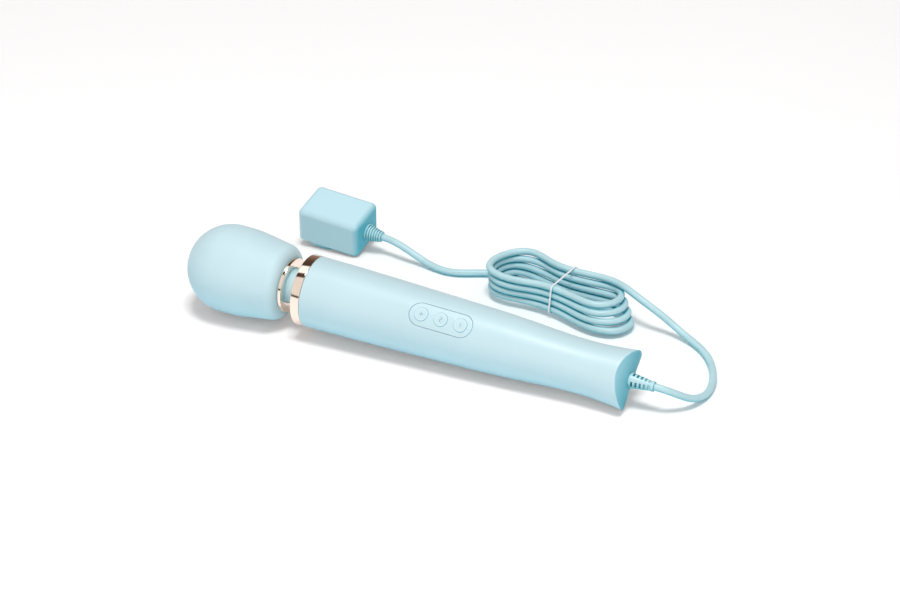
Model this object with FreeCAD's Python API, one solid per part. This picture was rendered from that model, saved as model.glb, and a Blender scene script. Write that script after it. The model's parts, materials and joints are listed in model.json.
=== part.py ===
import FreeCAD, Part
import math
import os

from FreeCAD import Placement, Rotation, Vector

# Handheld wand massager with its mains adapter, in millimetres.
# The wand parts are drawn in the wand's own frame: X runs from the tip of the head to the tail,
# Z is the outward normal of the button panel, and Y runs across the wand. The adapter parts are
# drawn about the middle of the adapter: X along its length towards the cord, Y across, Z up.
# Everything is then laid on the floor, as the object lies at rest.

# ---------------------------------------------------------------- driving dimensions: wand
WAND_LENGTH = 334.2
HEAD_R = 31.1
TAPER_START = 40.0
TAPER_R = 60.0
TAPER_DEG = 8.5
HEAD_REAR = 77.0
HEAD_CORNER_R = 8.5
NECK_OPENING_R = 13.6
COVER_WALL = 2.5
FIT_GAP = 0.1
CAGE_WALL = 2.3
RUNNING_GAP = 0.04

MOTOR_R = 13.9
MOTOR_START = 24.0
MOTOR_END = 58.0
SHAFT_R = 1.6

COLLAR_END = 80.0
COLLAR_R = 19.5
NECK_BORE_R = 12.5
NECK_R = 12.2
NECK_PIVOT = 85.25
SPIGOT_R = 10.4
WIRE_BORE_R = 5.5

FRONT_RING_START = 90.5
HANDLE_START = 97.3
FRONT_R = 25.1
HANDLE_WALL = 2.5
TAIL_END_R = 30.0
TAIL_HALF_WIDTH = 20.9
TAIL_HALF_DEPTH = 18.0

PANEL_CENTRE = 200.8
PANEL_LENGTH = 46.0
PANEL_WIDTH = 16.2
PANEL_UNDERSIDE = 18.0
BUTTON_R = 4.75
BUTTON_PITCH = 14.45
BUTTON_PROUD = 0.4

BOARD_TOP = 11.6
BOARD_THICKNESS = 1.6
BOARD_START = 140.0
BOARD_END = 248.0
BOARD_HALF_WIDTH = 13.0

CORD_R = 2.4
BOOT_LENGTH = 16.8
BOOT_BASE_R = 5.4
BOOT_TIP_R = 3.3
BOOT_BORE_R = 2.65
LEAD_R = 0.8

# ---------------------------------------------------------------- driving dimensions: adapter
ADAPTER_LENGTH = 48.5
ADAPTER_WIDTH = 34.0
ADAPTER_HEIGHT = 27.0
ADAPTER_WALL = 2.0
ADAPTER_EDGE_R = 4.0
PLATE_THICKNESS = 3.3
BLADE_WIDTH = 6.35
BLADE_THICKNESS = 1.5
BLADE_SPACING = 12.7
BLADE_LENGTH = 19.0
BLADE_HUB_X = 2.0
ADAPTER_BOOT_LENGTH = 12.0
ADAPTER_BOOT_Z = -2.0
ADAPTER_BOOT_BORE_R = 2.5

# ---------------------------------------------------------------- how it lies on the floor
WAND_ROLL = 44.7
WAND_PITCH = 2.28
ADAPTER_CENTRE = Vector(22.7, 116.0, 19.0)
ADAPTER_YAW = -1.3
ADAPTER_TIP_SIDE = 10.3
ADAPTER_TIP_END = 5.3

X_AXIS = Vector(1, 0, 0)
Y_AXIS = Vector(0, 1, 0)
Z_AXIS = Vector(0, 0, 1)
FAR = 400.0


# ---------------------------------------------------------------- shape helpers
def fuse(*shapes):
    """One clean solid from overlapping or touching pieces."""
    joined = shapes[0].fuse(list(shapes[1:])).removeSplitter()
    return joined.Solids[0] if len(joined.Solids) == 1 else joined


def cut(body, *tools):
    """The body with every tool taken away."""
    left = body.cut(Part.makeCompound(list(tools)))
    return left.Solids[0] if len(left.Solids) == 1 else left


def keep(body, region):
    """The part of the body inside the region."""
    inside = body.common(region)
    return inside.Solids[0] if len(inside.Solids) == 1 else inside


def group(shapes):
    """Separate solids kept together as one node."""
    solids = []
    for shape in shapes:
        solids.extend(shape.Solids)
    return Part.makeCompound(solids)


def rod(x_from, x_to, radius, y=0.0, z=0.0):
    """Round bar along X."""
    return Part.makeCylinder(radius, x_to - x_from, Vector(x_from, y, z), X_AXIS)


def tube(x_from, x_to, outer, inner, y=0.0, z=0.0):
    """Round tube along X."""
    return cut(rod(x_from, x_to, outer, y, z), rod(x_from - 1, x_to + 1, inner, y, z))


def post(z_from, z_to, radius, x, y):
    """Round post along Z."""
    return Part.makeCylinder(radius, z_to - z_from, Vector(x, y, z_from), Z_AXIS)


def block(x_from, x_to, y_from, y_to, z_from, z_to):
    """Box between two corners."""
    return Part.makeBox(x_to - x_from, y_to - y_from, z_to - z_from, Vector(x_from, y_from, z_from))


def turned(outline):
    """Solid of revolution about X from a closed outline of (x, radius) points."""
    points = [Vector(x, 0, radius) for x, radius in outline]
    wire = Part.makePolygon(points + [points[0]])
    return Part.Face(wire).revolve(Vector(0, 0, 0), X_AXIS, 360)


def polar(radius, angle_deg):
    """Across and outward offsets of a point on a circle about the wand's axis."""
    angle = math.radians(angle_deg)
    return radius * math.cos(angle), radius * math.sin(angle)


def stadium(length, width, z_from, z_to, x_middle=0.0):
    """Upright prism with straight sides and half-round ends."""
    straight = length - width
    half = straight / 2
    radius = width / 2
    return fuse(
        block(x_middle - half, x_middle + half, -radius, radius, z_from, z_to),
        post(z_from, z_to, radius, x_middle - half, 0),
        post(z_from, z_to, radius, x_middle + half, 0),
    )


def swept_round(path_wire, radius):
    """Round section carried along a smooth wire."""
    edge = path_wire.Edges[0]
    start = edge.valueAt(edge.FirstParameter)
    along = edge.tangentAt(edge.FirstParameter)
    circle = Part.Wire(Part.makeCircle(radius, start, along))
    return path_wire.makePipeShell([circle], True, False)


def smooth_path(points):
    """Smooth curve through the points, as a wire."""
    curve = Part.BSplineCurve()
    curve.interpolate(points)
    return Part.Wire(curve.toShape())


def round_rope(points, radius, sections, sections_per_face):
    """Long round bar along a smooth curve, skinned over circles in short tangent stretches."""
    curve = Part.BSplineCurve()
    curve.interpolate(points)
    spine = curve.toShape()
    upward = Z_AXIS
    rings = []
    for index in range(sections + 1):
        place = spine.getParameterByLength(spine.Length * index / sections)
        along = spine.tangentAt(place)
        sideways = along.cross(upward).normalize()
        upward = sideways.cross(along).normalize()
        ring = Part.makeCircle(radius)
        ring.Placement = Placement(spine.valueAt(place), Rotation(sideways, upward, along, "ZXY"))
        rings.append(Part.Wire(ring))
    faces = [Part.Face(rings[0]), Part.Face(rings[-1])]
    for first in range(0, sections, sections_per_face):
        faces.extend(Part.makeLoft(rings[first:first + sections_per_face + 1], False, False).Faces)
    skin = Part.makeShell(faces)
    skin.sewShape()
    rope = Part.makeSolid(skin)
    if rope.Volume < 0:
        rope.reverse()
    return rope


def coil(x_from, x_to, mean_radius, wire_radius, turns):
    """Round-wire compression spring along X."""
    steps_per_turn = 12
    steps = turns * steps_per_turn
    points = []
    for step in range(steps + 1):
        y, z = polar(mean_radius, 90.0 + 360.0 * step / steps_per_turn)
        points.append(Vector(x_from + (x_to - x_from) * step / steps, y, z))
    return round_rope(points, wire_radius, 2 * steps, 6)


# ---------------------------------------------------------------- head
def arc_edge(centre_x, centre_r, radius, from_deg, to_deg):
    """Arc in the half plane above the axis; 0 degrees points outward and 90 towards the tail."""
    points = []
    for turn in (from_deg, (from_deg + to_deg) / 2, to_deg):
        angle = math.radians(turn)
        points.append(Vector(centre_x + radius * math.sin(angle), 0, centre_r + radius * math.cos(angle)))
    return Part.Arc(*points).toShape()


def head_form(offset):
    """Solid of the head's outside, moved inwards by offset: dome, band, easing into a cone, round rear edge."""
    taper = math.radians(TAPER_DEG)
    cone_x = TAPER_START + TAPER_R * math.sin(taper)
    cone_r = HEAD_R - TAPER_R * (1 - math.cos(taper))
    corner_x = HEAD_REAR - HEAD_CORNER_R
    tangent_x = corner_x + HEAD_CORNER_R * math.sin(taper)
    tangent_r = cone_r - math.tan(taper) * (tangent_x - cone_x)
    corner_r = tangent_r - HEAD_CORNER_R * math.cos(taper)
    dome = arc_edge(HEAD_R, 0, HEAD_R - offset, -90, 0)
    easing = arc_edge(TAPER_START, HEAD_R - TAPER_R, TAPER_R - offset, 0, TAPER_DEG)
    corner = arc_edge(corner_x, corner_r, HEAD_CORNER_R - offset, TAPER_DEG, 90)
    ends = [edge.valueAt(edge.LastParameter) for edge in (dome, easing, corner)]
    starts = [edge.valueAt(edge.FirstParameter) for edge in (dome, easing, corner)]
    on_axis = Vector(HEAD_REAR - offset, 0, 0)
    edges = [dome, Part.makeLine(ends[0], starts[1]), easing, Part.makeLine(ends[1], starts[2]), corner,
             Part.makeLine(ends[2], on_axis), Part.makeLine(on_axis, starts[0])]
    return Part.Face(Part.Wire(edges)).revolve(Vector(0, 0, 0), X_AXIS, 360)


def head_cover():
    """Silicone hood over the head cage, open at the back round the neck."""
    return cut(head_form(0), head_form(COVER_WALL), rod(HEAD_REAR - 5, HEAD_REAR + 5, NECK_OPENING_R))


CAGE_OFFSET = COVER_WALL + FIT_GAP
CAGE_REAR = HEAD_REAR - CAGE_OFFSET
CAGE_BOSSES = ((41.0, 21.6), (41.0, -21.6), (65.5, 18.6), (65.5, -18.6))
CAGE_SPLIT_GAP = 0.05
CAGE_SCREW_SEAT = -7.85


def head_cage():
    """Hard two-part case that holds the motor, before it is split."""
    outside = head_form(CAGE_OFFSET)
    hollow = head_form(CAGE_OFFSET + CAGE_WALL)
    shell = cut(outside, hollow)
    ribs = [keep(tube(x, x + 5.0, HEAD_R, 18.2), outside) for x in (27.0, 49.0)]
    bosses = [keep(post(-HEAD_R, HEAD_R, 3.4, x, y), outside) for x, y in CAGE_BOSSES]
    spigot = tube(CAGE_REAR - 1.0, COLLAR_END - 1.0, NECK_BORE_R + 0.9, NECK_R + 0.1)
    body = fuse(shell, *ribs, *bosses, spigot)
    screw_holes = [post(-HEAD_R, 9.0, 1.2, x, y) for x, y in CAGE_BOSSES]
    head_pockets = [post(-HEAD_R, CAGE_SCREW_SEAT + 0.05, 2.5, x, y) for x, y in CAGE_BOSSES]
    return cut(body, rod(CAGE_REAR - 8.0, COLLAR_END, SPIGOT_R + 0.1), *screw_holes, *head_pockets)


def head_cage_upper():
    return keep(head_cage(), block(-5, 90, -40, 40, CAGE_SPLIT_GAP / 2, 40))


def head_cage_lower():
    return keep(head_cage(), block(-5, 90, -40, 40, -40, -CAGE_SPLIT_GAP / 2))


def self_tapper(x, y, z_under_head, length, shank_r, head_r, head_height):
    """Pan-head screw pointing up, with a cross recess cut into its head."""
    shank = post(z_under_head, z_under_head + length, shank_r, x, y)
    head = post(z_under_head - head_height, z_under_head, head_r, x, y)
    arm = head_r * 0.62
    slot_depth = head_height * 0.45
    bottom = z_under_head - head_height
    recess = fuse(
        block(x - arm, x + arm, y - 0.25, y + 0.25, bottom - 1, bottom + slot_depth),
        block(x - 0.25, x + 0.25, y - arm, y + arm, bottom - 1, bottom + slot_depth),
    )
    return cut(fuse(shank, head), recess)


def head_cage_screws():
    """Four screws that close the two halves of the cage."""
    return group([self_tapper(x, y, CAGE_SCREW_SEAT, 16.0, 1.1, 2.3, 1.6) for x, y in CAGE_BOSSES])


def head_collar():
    """Polished trim ring behind the head, with a sloping rear face."""
    inner = NECK_BORE_R + 1.0
    return turned([
        (HEAD_REAR + 0.05, inner),
        (HEAD_REAR + 0.05, COLLAR_R - 0.4),
        (HEAD_REAR + 0.45, COLLAR_R),
        (COLLAR_END - 0.6, COLLAR_R),
        (COLLAR_END, COLLAR_R - 0.6),
        (COLLAR_END - 0.9, inner),
    ])


# ---------------------------------------------------------------- motor in the head
def motor_isolators():
    """Two rubber rings between the motor and the ribs of the cage."""
    return group([tube(x + 0.3, x + 4.7, 18.1, MOTOR_R + 0.05) for x in (27.0, 49.0)])


def motor_can():
    """Drawn steel can, open at the back, with a bearing boss at the front."""
    can = cut(rod(MOTOR_START, MOTOR_END, MOTOR_R), rod(MOTOR_START + 1.2, MOTOR_END + 1, MOTOR_R - 1.2))
    boss = rod(MOTOR_START - 2.0, MOTOR_START + 3.0, 4.6)
    return cut(fuse(can, boss), rod(MOTOR_START - 3, MOTOR_START + 4, 3.05))


def motor_magnets():
    """Two curved ferrite magnets inside the can."""
    ring = tube(29.0, 50.0, MOTOR_R - 1.3, 10.2)
    return group([keep(ring, block(28, 51, -7.6, 7.6, 2, 20)), keep(ring, block(28, 51, -7.6, 7.6, -20, -2))])


def motor_end_bell():
    """Moulded end plate that carries the rear bush and the brushes."""
    plate = rod(MOTOR_END + 0.05, MOTOR_END + 2.6, MOTOR_R)
    plug = tube(MOTOR_END - 2.5, MOTOR_END + 0.5, MOTOR_R - 1.3, 10.5)
    boss = rod(MOTOR_END + 2.0, MOTOR_END + 4.2, 4.6)
    lead_slots = [block(MOTOR_END, MOTOR_END + 3, y - 1.4, y + 1.4, -2.0, 2.0) for y in (-7.7, 7.7)]
    return cut(fuse(plate, plug, boss), rod(MOTOR_END - 3, MOTOR_END + 6, 3.05), *lead_slots)


def motor_bushes():
    """Front and rear sintered bearing bushes."""
    bore = SHAFT_R + RUNNING_GAP
    return group([
        tube(MOTOR_START - 1.8, MOTOR_START + 2.8, 3.0, bore),
        tube(MOTOR_END + 0.6, MOTOR_END + 4.0, 3.0, bore),
    ])


def motor_brushes():
    """Two carbon brushes with their spring arms, bearing on the commutator."""
    brushes = []
    for side in (-1, 1):
        low, high = sorted((side * 3.85, side * 6.4))
        carbon = block(53.6, 56.4, low, high, -1.4, 1.4)
        arm_low, arm_high = sorted((side * 6.4, side * 6.8))
        arm = block(53.6, 60.0, arm_low, arm_high, -1.2, 1.2)
        tail_low, tail_high = sorted((side * 6.4, side * 8.8))
        tail = block(59.6, 60.0, tail_low, tail_high, -1.2, 1.2)
        brushes.append(fuse(carbon, arm, tail))
    return group(brushes)


def motor_shaft():
    """Steel shaft through the motor, flattened where the weight sits."""
    shaft = rod(9.0, MOTOR_END + 3.9, SHAFT_R)
    flat = block(8.0, 21.0, -3, 3, SHAFT_R - 0.4, 3)
    return cut(shaft, flat)


def motor_armature():
    """Three-pole laminated core with its windings."""
    core = rod(30.5, 48.5, 3.4)
    poles = []
    for index in range(3):
        web = block(30.5, 48.5, -1.5, 1.5, 2.0, 8.6)
        tip = keep(tube(30.5, 48.5, 9.6, 8.0), block(30, 49, -6.2, 6.2, 5, 12))
        winding = Part.makeBox(20.0, 6.4, 4.0, Vector(29.5, -3.2, 3.7))
        pole = fuse(web, tip, winding)
        pole.rotate(Vector(0, 0, 0), X_AXIS, 120 * index)
        poles.append(pole)
    return cut(fuse(core, *poles), rod(20, 70, SHAFT_R + 0.01))


def motor_commutator():
    """Three-segment commutator on the shaft, behind the armature."""
    barrel = tube(51.0, 57.6, 3.8, SHAFT_R + 0.01)
    grooves = []
    for index in range(3):
        groove = block(50.5, 58, -0.2, 0.2, 3.3, 4.5)
        groove.rotate(Vector(0, 0, 0), X_AXIS, 120 * index + 60)
        grooves.append(groove)
    return cut(barrel, *grooves)


def eccentric_weight():
    """Half-disc weight with a hub, fixed on the front of the shaft."""
    half_disc = keep(rod(10.0, 20.0, 12.0), block(9, 21, -13, 13, -13, 0))
    hub = rod(10.0, 20.0, 4.2)
    return cut(fuse(half_disc, hub), keep(rod(9, 21, SHAFT_R + 0.01), block(8, 22, -3, 3, -3, SHAFT_R - 0.39)))


# ---------------------------------------------------------------- neck
def neck_anchor_head():
    """Flanged spigot that ties the front of the neck to the head cage."""
    flange = rod(69.0, 71.5, 14.0)
    spigot = rod(71.0, 81.5, SPIGOT_R)
    return cut(fuse(flange, spigot), rod(60, 90, WIRE_BORE_R))


def neck_anchor_handle():
    """Flanged spigot that ties the back of the neck to the handle."""
    flange = rod(97.6, 100.6, 19.2)
    spigot = rod(89.0, 98.0, SPIGOT_R)
    holes = [rod(90, 110, 1.3, *polar(16.0, angle)) for angle in (90, 210, 330)]
    return cut(fuse(flange, spigot), rod(80, 110, WIRE_BORE_R), *holes)


def neck_sleeve():
    """Soft silicone sleeve that bends between head and handle."""
    return tube(HEAD_REAR + 0.4, 96.6, NECK_R, SPIGOT_R + 0.1)


def neck_spring():
    """Steel coil spring inside the sleeve that brings the head back straight."""
    return coil(82.4, 88.2, 8.0, 0.6, 3)


def neck_anchor_screws():
    """Three screws that fix the handle end of the neck to the carrier."""
    screws = []
    for angle in (90, 210, 330):
        y, z = polar(16.0, angle)
        head = rod(95.9, 97.55, 2.2, y, z)
        shank = rod(97.5, 106.0, 1.1, y, z)
        slot = block(95.5, 96.5, y - 1.4, y + 1.4, z - 0.25, z + 0.25)
        screws.append(cut(fuse(head, shank), slot))
    return group(screws)


# ---------------------------------------------------------------- handle
HANDLE_STATIONS = (
    (HANDLE_START, FRONT_R, FRONT_R),
    (150.0, 24.25, 24.25),
    (200.0, 22.85, 22.85),
    (255.0, 20.8, 20.8),
    (309.0, 18.65, 18.2),
    (WAND_LENGTH + 1.0, TAIL_HALF_WIDTH + 0.1, TAIL_HALF_DEPTH),
)


def handle_form(offset):
    """Solid of the handle's outside moved inwards by offset, longer than the handle at the tail."""
    rings = []
    for x, half_width, half_depth in HANDLE_STATIONS:
        ellipse = Part.Ellipse(Vector(0, 0, 0), half_width - offset + 0.001, half_depth - offset)
        ring = Part.Wire(ellipse.toShape())
        ring.Placement = Placement(Vector(x, 0, 0), Rotation(Y_AXIS, Z_AXIS, X_AXIS, "XYZ"))
        rings.append(ring)
    return Part.makeLoft(rings, True, False)


def before_tail_end(inset):
    """Everything in front of the tail's rounded end, a barrel face with its axis across the wand."""
    middle = WAND_LENGTH - TAIL_END_R
    radius = TAIL_END_R - inset
    barrel = Part.makeCylinder(radius, 2 * FAR, Vector(middle, -FAR, 0), Y_AXIS)
    return fuse(barrel, block(-1.0, middle, -FAR, FAR, -radius, radius))


def handle_collar():
    """Polished ring at the front of the handle, with a skirt inside the tube."""
    lip = FRONT_RING_START + 0.5
    return turned([
        (FRONT_RING_START, NECK_BORE_R),
        (FRONT_RING_START, FRONT_R - 0.5),
        (lip, FRONT_R + 0.1),
        (HANDLE_START - 0.25, FRONT_R + 0.1),
        (HANDLE_START - 0.25, FRONT_R - HANDLE_WALL - 0.15),
        (HANDLE_START + 4.0, FRONT_R - HANDLE_WALL - 0.15),
        (HANDLE_START + 4.0, FRONT_R - HANDLE_WALL - 2.2),
        (HANDLE_START - 1.75, FRONT_R - HANDLE_WALL - 2.2),
        (HANDLE_START - 1.75, NECK_BORE_R),
    ])


def handle_tube():
    """One-piece tapering tube with the panel opening and the rounded tail end."""
    wall = cut(handle_form(0), handle_form(HANDLE_WALL))
    opening = stadium(PANEL_LENGTH + 0.5, PANEL_WIDTH + 0.5, 0, 60, PANEL_CENTRE)
    front_bore = rod(HANDLE_START - 1, HANDLE_START + 4.4, FRONT_R - HANDLE_WALL)
    return keep(cut(wall, opening, front_bore), before_tail_end(0))


BUTTON_PLACES = {
    "plus": PANEL_CENTRE - BUTTON_PITCH,
    "mode": PANEL_CENTRE,
    "minus": PANEL_CENTRE + BUTTON_PITCH,
}


def button_panel():
    """Stadium bezel flush with the handle, guiding the three buttons."""
    bezel = keep(handle_form(0), stadium(PANEL_LENGTH, PANEL_WIDTH, PANEL_UNDERSIDE, 60, PANEL_CENTRE))
    holes = [post(0, 60, BUTTON_R + 0.1, x, 0) for x in BUTTON_PLACES.values()]
    feet = [post(BOARD_TOP + 0.05, PANEL_UNDERSIDE + 1, 1.2, PANEL_CENTRE + x, y)
            for x in (-7.2, 7.2) for y in (-6.6, 6.6)]
    return cut(fuse(bezel, *feet), *holes)


def button(x):
    """Round cap that follows the panel's curve, with a retaining flange below the panel."""
    cap = keep(handle_form(-BUTTON_PROUD), post(PANEL_UNDERSIDE - 0.6, 60, BUTTON_R, x, 0))
    flange = post(PANEL_UNDERSIDE - 1.0, PANEL_UNDERSIDE - 0.1, BUTTON_R + 0.8, x, 0)
    return fuse(cap, flange)


def button_plus():
    return button(BUTTON_PLACES["plus"])


def button_mode():
    return button(BUTTON_PLACES["mode"])


def button_minus():
    return button(BUTTON_PLACES["minus"])


def plunger(x):
    """Moving pin of a push switch, carried by its button."""
    return fuse(post(13.2, 13.8, 2.3, x, 0), post(13.5, 16.05, 1.6, x, 0))


def plunger_plus():
    return plunger(BUTTON_PLACES["plus"])


def plunger_mode():
    return plunger(BUTTON_PLACES["mode"])


def plunger_minus():
    return plunger(BUTTON_PLACES["minus"])


def keypad_seal():
    """Thin silicone sheet between the buttons and the switches."""
    sheet = stadium(PANEL_LENGTH - 3.0, PANEL_WIDTH - 2.2, 16.25, 16.75, PANEL_CENTRE)
    foot_holes = [post(10, 20, 1.5, PANEL_CENTRE + x, y) for x in (-7.2, 7.2) for y in (-6.6, 6.6)]
    return cut(sheet, *foot_holes)


def switch_housings():
    """Three square push-switch bodies on the circuit board."""
    housings = []
    for x in BUTTON_PLACES.values():
        body = block(x - 3.1, x + 3.1, -3.1, 3.1, BOARD_TOP + 0.02, 14.8)
        housings.append(cut(body, post(12.3, 14.1, 2.5, x, 0), post(14.0, 15.0, 1.7, x, 0)))
    return group(housings)


def switch_domes():
    """Three snap domes under the plungers."""
    domes = []
    for x in BUTTON_PLACES.values():
        cap = Part.makeSphere(4.4, Vector(x, 0, 13.1 - 4.4))
        hollow = Part.makeSphere(4.28, Vector(x, 0, 13.1 - 4.4))
        domes.append(keep(cut(cap, hollow), post(12.35, 14.0, 2.4, x, 0)))
    return group(domes)


# ---------------------------------------------------------------- inside the handle
CARRIER_START = 101.6
CARRIER_END = 312.0
CLAMP_SEAT = -2.7
CLAMP_MIDDLE = 293.0
CLAMP_SCREWS_Y = (-7.0, 7.0)
BOARD_POSTS = ((147.0, 8.5), (147.0, -8.5), (241.0, 8.5), (241.0, -8.5))


def carrier():
    """Half-round tray that slides into the tube and carries the electronics."""
    outside = keep(handle_form(HANDLE_WALL + 0.3), block(CARRIER_START, CARRIER_END, -30, 30, -30, 5.0))
    hollow = keep(handle_form(HANDLE_WALL + 2.3), block(CARRIER_START + 3.0, CARRIER_END + 1, -30, 30, -30, 30))
    tray = cut(outside, hollow)
    bulkhead = rod(CARRIER_START, CARRIER_START + 3.0, 21.6)
    posts = [keep(post(-30, BOARD_TOP - BOARD_THICKNESS - 0.05, 3.0, x, y),
                  handle_form(HANDLE_WALL + 0.3)) for x, y in BOARD_POSTS]
    clamp_seat = keep(block(286, 300, -30, 30, -30, CLAMP_SEAT), handle_form(HANDLE_WALL + 0.3))
    body = fuse(tray, bulkhead, clamp_seat, *posts)
    holes = [post(0, 20, 1.05, x, y) for x, y in BOARD_POSTS]
    holes += [post(-12, 0, 1.15, CLAMP_MIDDLE, y) for y in CLAMP_SCREWS_Y]
    holes += [rod(100, 110, 1.15, *polar(16.0, angle)) for angle in (90, 210, 330)]
    return cut(body, rod(95, 110, 6.0), *holes)


def main_board():
    """Control board."""
    board = block(BOARD_START, BOARD_END, -BOARD_HALF_WIDTH, BOARD_HALF_WIDTH,
                  BOARD_TOP - BOARD_THICKNESS, BOARD_TOP)
    return cut(board, *[post(5, 20, 1.3, x, y) for x, y in BOARD_POSTS])


def board_components():
    """Microcontroller, motor driver, smoothing capacitor, choke and two wire connectors."""
    top = BOARD_TOP + 0.02
    return group([
        block(156, 163, -3.5, 3.5, top, top + 1.2),
        block(168, 173, -8, -3, top, top + 2.2),
        post(top, top + 4.5, 3.1, 233.0, -4.0),
        block(226, 232, 3, 9, top, top + 3.0),
        block(142, 145.5, -4.0, 4.0, top, top + 3.2),
        block(243.0, 246.5, -4.0, 4.0, top, top + 3.2),
    ])


def board_screws():
    """Four screws that hold the board on the carrier's posts."""
    screws = []
    for x, y in BOARD_POSTS:
        head = post(BOARD_TOP + 0.02, BOARD_TOP + 1.5, 2.0, x, y)
        shank = post(BOARD_TOP - 7.0, BOARD_TOP + 0.5, 1.0, x, y)
        slot = block(x - 1.3, x + 1.3, y - 0.25, y + 0.25, BOARD_TOP + 1.0, BOARD_TOP + 2.0)
        screws.append(cut(fuse(head, shank), slot))
    return group(screws)


def motor_leads():
    """Two wires from the board through the neck to the motor."""
    leads = []
    for side in (-1, 1):
        points = [
            Vector(61.2, side * 3.2, 6.5),
            Vector(72.0, side * 2.6, 0),
            Vector(NECK_PIVOT, side * 2.6, 0),
            Vector(108.0, side * 2.6, 0),
            Vector(126.0, side * 2.2, 7.0),
            Vector(136.0, side * 2.0, 13.2),
            Vector(141.8, side * 2.0, 13.2),
        ]
        leads.append(swept_round(smooth_path(points), LEAD_R))
    return group(leads)


def power_leads():
    """Two wires from the end of the cord to the board."""
    leads = []
    for side in (-1, 1):
        points = [
            Vector(246.7, side * 2.0, 13.2),
            Vector(252.0, side * 2.0, 13.0),
            Vector(262.0, side * 1.6, 6.0),
            Vector(274.0, side * 1.1, 0.4),
            Vector(281.6, side * 1.0, 0),
        ]
        leads.append(swept_round(smooth_path(points), LEAD_R))
    return group(leads)


def cord_clamp():
    """Bridge that holds the cord down on the carrier."""
    start, end = CLAMP_MIDDLE - 4.5, CLAMP_MIDDLE + 4.5
    bridge = block(start, end, -10.5, 10.5, CLAMP_SEAT + 0.05, 4.3)
    channel_r = CORD_R + 0.1
    channel = fuse(rod(start - 1, end + 1, channel_r), block(start - 1, end + 1, -channel_r, channel_r, -5, 0))
    shoulders = [block(start - 1, end + 1, low, low + 7.0, -0.2, 5) for low in (-11.0, 4.0)]
    holes = [post(-5, 5, 1.25, CLAMP_MIDDLE, y) for y in CLAMP_SCREWS_Y]
    return cut(bridge, channel, *shoulders, *holes)


def cord_clamp_screws():
    """Two screws through the cord clamp."""
    screws = []
    for y in CLAMP_SCREWS_Y:
        head = post(-0.15, 1.3, 2.1, CLAMP_MIDDLE, y)
        shank = post(-9.0, 0.2, 1.1, CLAMP_MIDDLE, y)
        slot = block(CLAMP_MIDDLE - 1.4, CLAMP_MIDDLE + 1.4, y - 0.25, y + 0.25, 0.8, 2.0)
        screws.append(cut(fuse(head, shank), slot))
    return group(screws)


BOOT_START = 320.5
BOOT_TIP = WAND_LENGTH + BOOT_LENGTH
BOOT_FLANGE_R = 7.3
BOOT_FLANGE_THICKNESS = 3.0
BOOT_END_RING = 1.6
BOOT_SLOT_RINGS = 5
BOOT_SLOT_PITCH = 2.9


def tail_cap():
    """End cap inside the tube, level with its rim, with the hole for the cord's boot."""
    plug = keep(handle_form(HANDLE_WALL + 0.06), block(316, 345, -30, 30, -30, 30))
    flange_room = rod(310, BOOT_START + BOOT_FLANGE_THICKNESS + 0.1, BOOT_FLANGE_R + 0.3)
    return cut(keep(plug, before_tail_end(0.1)), rod(310, 345, BOOT_BASE_R + 0.1), flange_room)


def tail_strain_relief():
    """Tapering boot where the cord leaves the tail, with rings of slots and a plain ring at its tip."""
    flange = rod(BOOT_START, BOOT_START + BOOT_FLANGE_THICKNESS, BOOT_FLANGE_R)
    ring_start = BOOT_TIP - BOOT_END_RING
    boot = turned([
        (BOOT_START, 0), (BOOT_START, BOOT_BASE_R), (WAND_LENGTH, BOOT_BASE_R), (ring_start, BOOT_TIP_R),
        (ring_start, BOOT_TIP_R + 0.35), (BOOT_TIP, BOOT_TIP_R + 0.35), (BOOT_TIP, 0),
    ])
    slots = []
    for ring in range(BOOT_SLOT_RINGS):
        x = WAND_LENGTH + 1.4 + BOOT_SLOT_PITCH * ring
        for angle in (45, 135, 225, 315):
            slot = block(x, x + BOOT_SLOT_PITCH * 0.5, -1.9, 1.9, BOOT_BORE_R + 0.3, BOOT_BASE_R + 1)
            slot.rotate(Vector(0, 0, 0), X_AXIS, angle)
            slots.append(slot)
    return cut(fuse(flange, boot), rod(BOOT_START - 1, BOOT_TIP + 1, BOOT_BORE_R), *slots)


# ---------------------------------------------------------------- adapter
HALF_L = ADAPTER_LENGTH / 2
HALF_W = ADAPTER_WIDTH / 2
HALF_H = ADAPTER_HEIGHT / 2
LID_TOP = -HALF_H + ADAPTER_WALL
PLATE_FACE = -HALF_H - PLATE_THICKNESS
WELL_TOP = -6.4
HUB_Z = PLATE_FACE + 3.5
PLATE_X = -7.5
PLATE_Y = -2.5
PLATE_LENGTH = 31.0
PLATE_WIDTH = 25.0


def rounded_box(half_l, half_w, z_from, z_to, edge_r):
    """Box with rounded upright edges and a rounded top rim."""
    box = block(-half_l, half_l, -half_w, half_w, z_from, z_to)
    chosen = []
    for edge in box.Edges:
        middle = edge.CenterOfMass
        if middle.z > z_from + 1e-6:
            chosen.append(edge)
    return box.makeFillet(edge_r, chosen)


def adapter_body():
    """Adapter case: five closed sides with the cord hole in one end."""
    outside = rounded_box(HALF_L, HALF_W, -HALF_H, HALF_H, ADAPTER_EDGE_R)
    bottom = [edge for edge in outside.Edges if abs(edge.CenterOfMass.z + HALF_H) < 1e-6]
    outside = outside.makeFillet(1.2, bottom)
    inside = rounded_box(HALF_L - ADAPTER_WALL, HALF_W - ADAPTER_WALL, -HALF_H - 5,
                         HALF_H - ADAPTER_WALL, ADAPTER_EDGE_R - ADAPTER_WALL)
    return cut(outside, inside, rod(HALF_L - 5, HALF_L + 5, 4.3, 0, ADAPTER_BOOT_Z))


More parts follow.
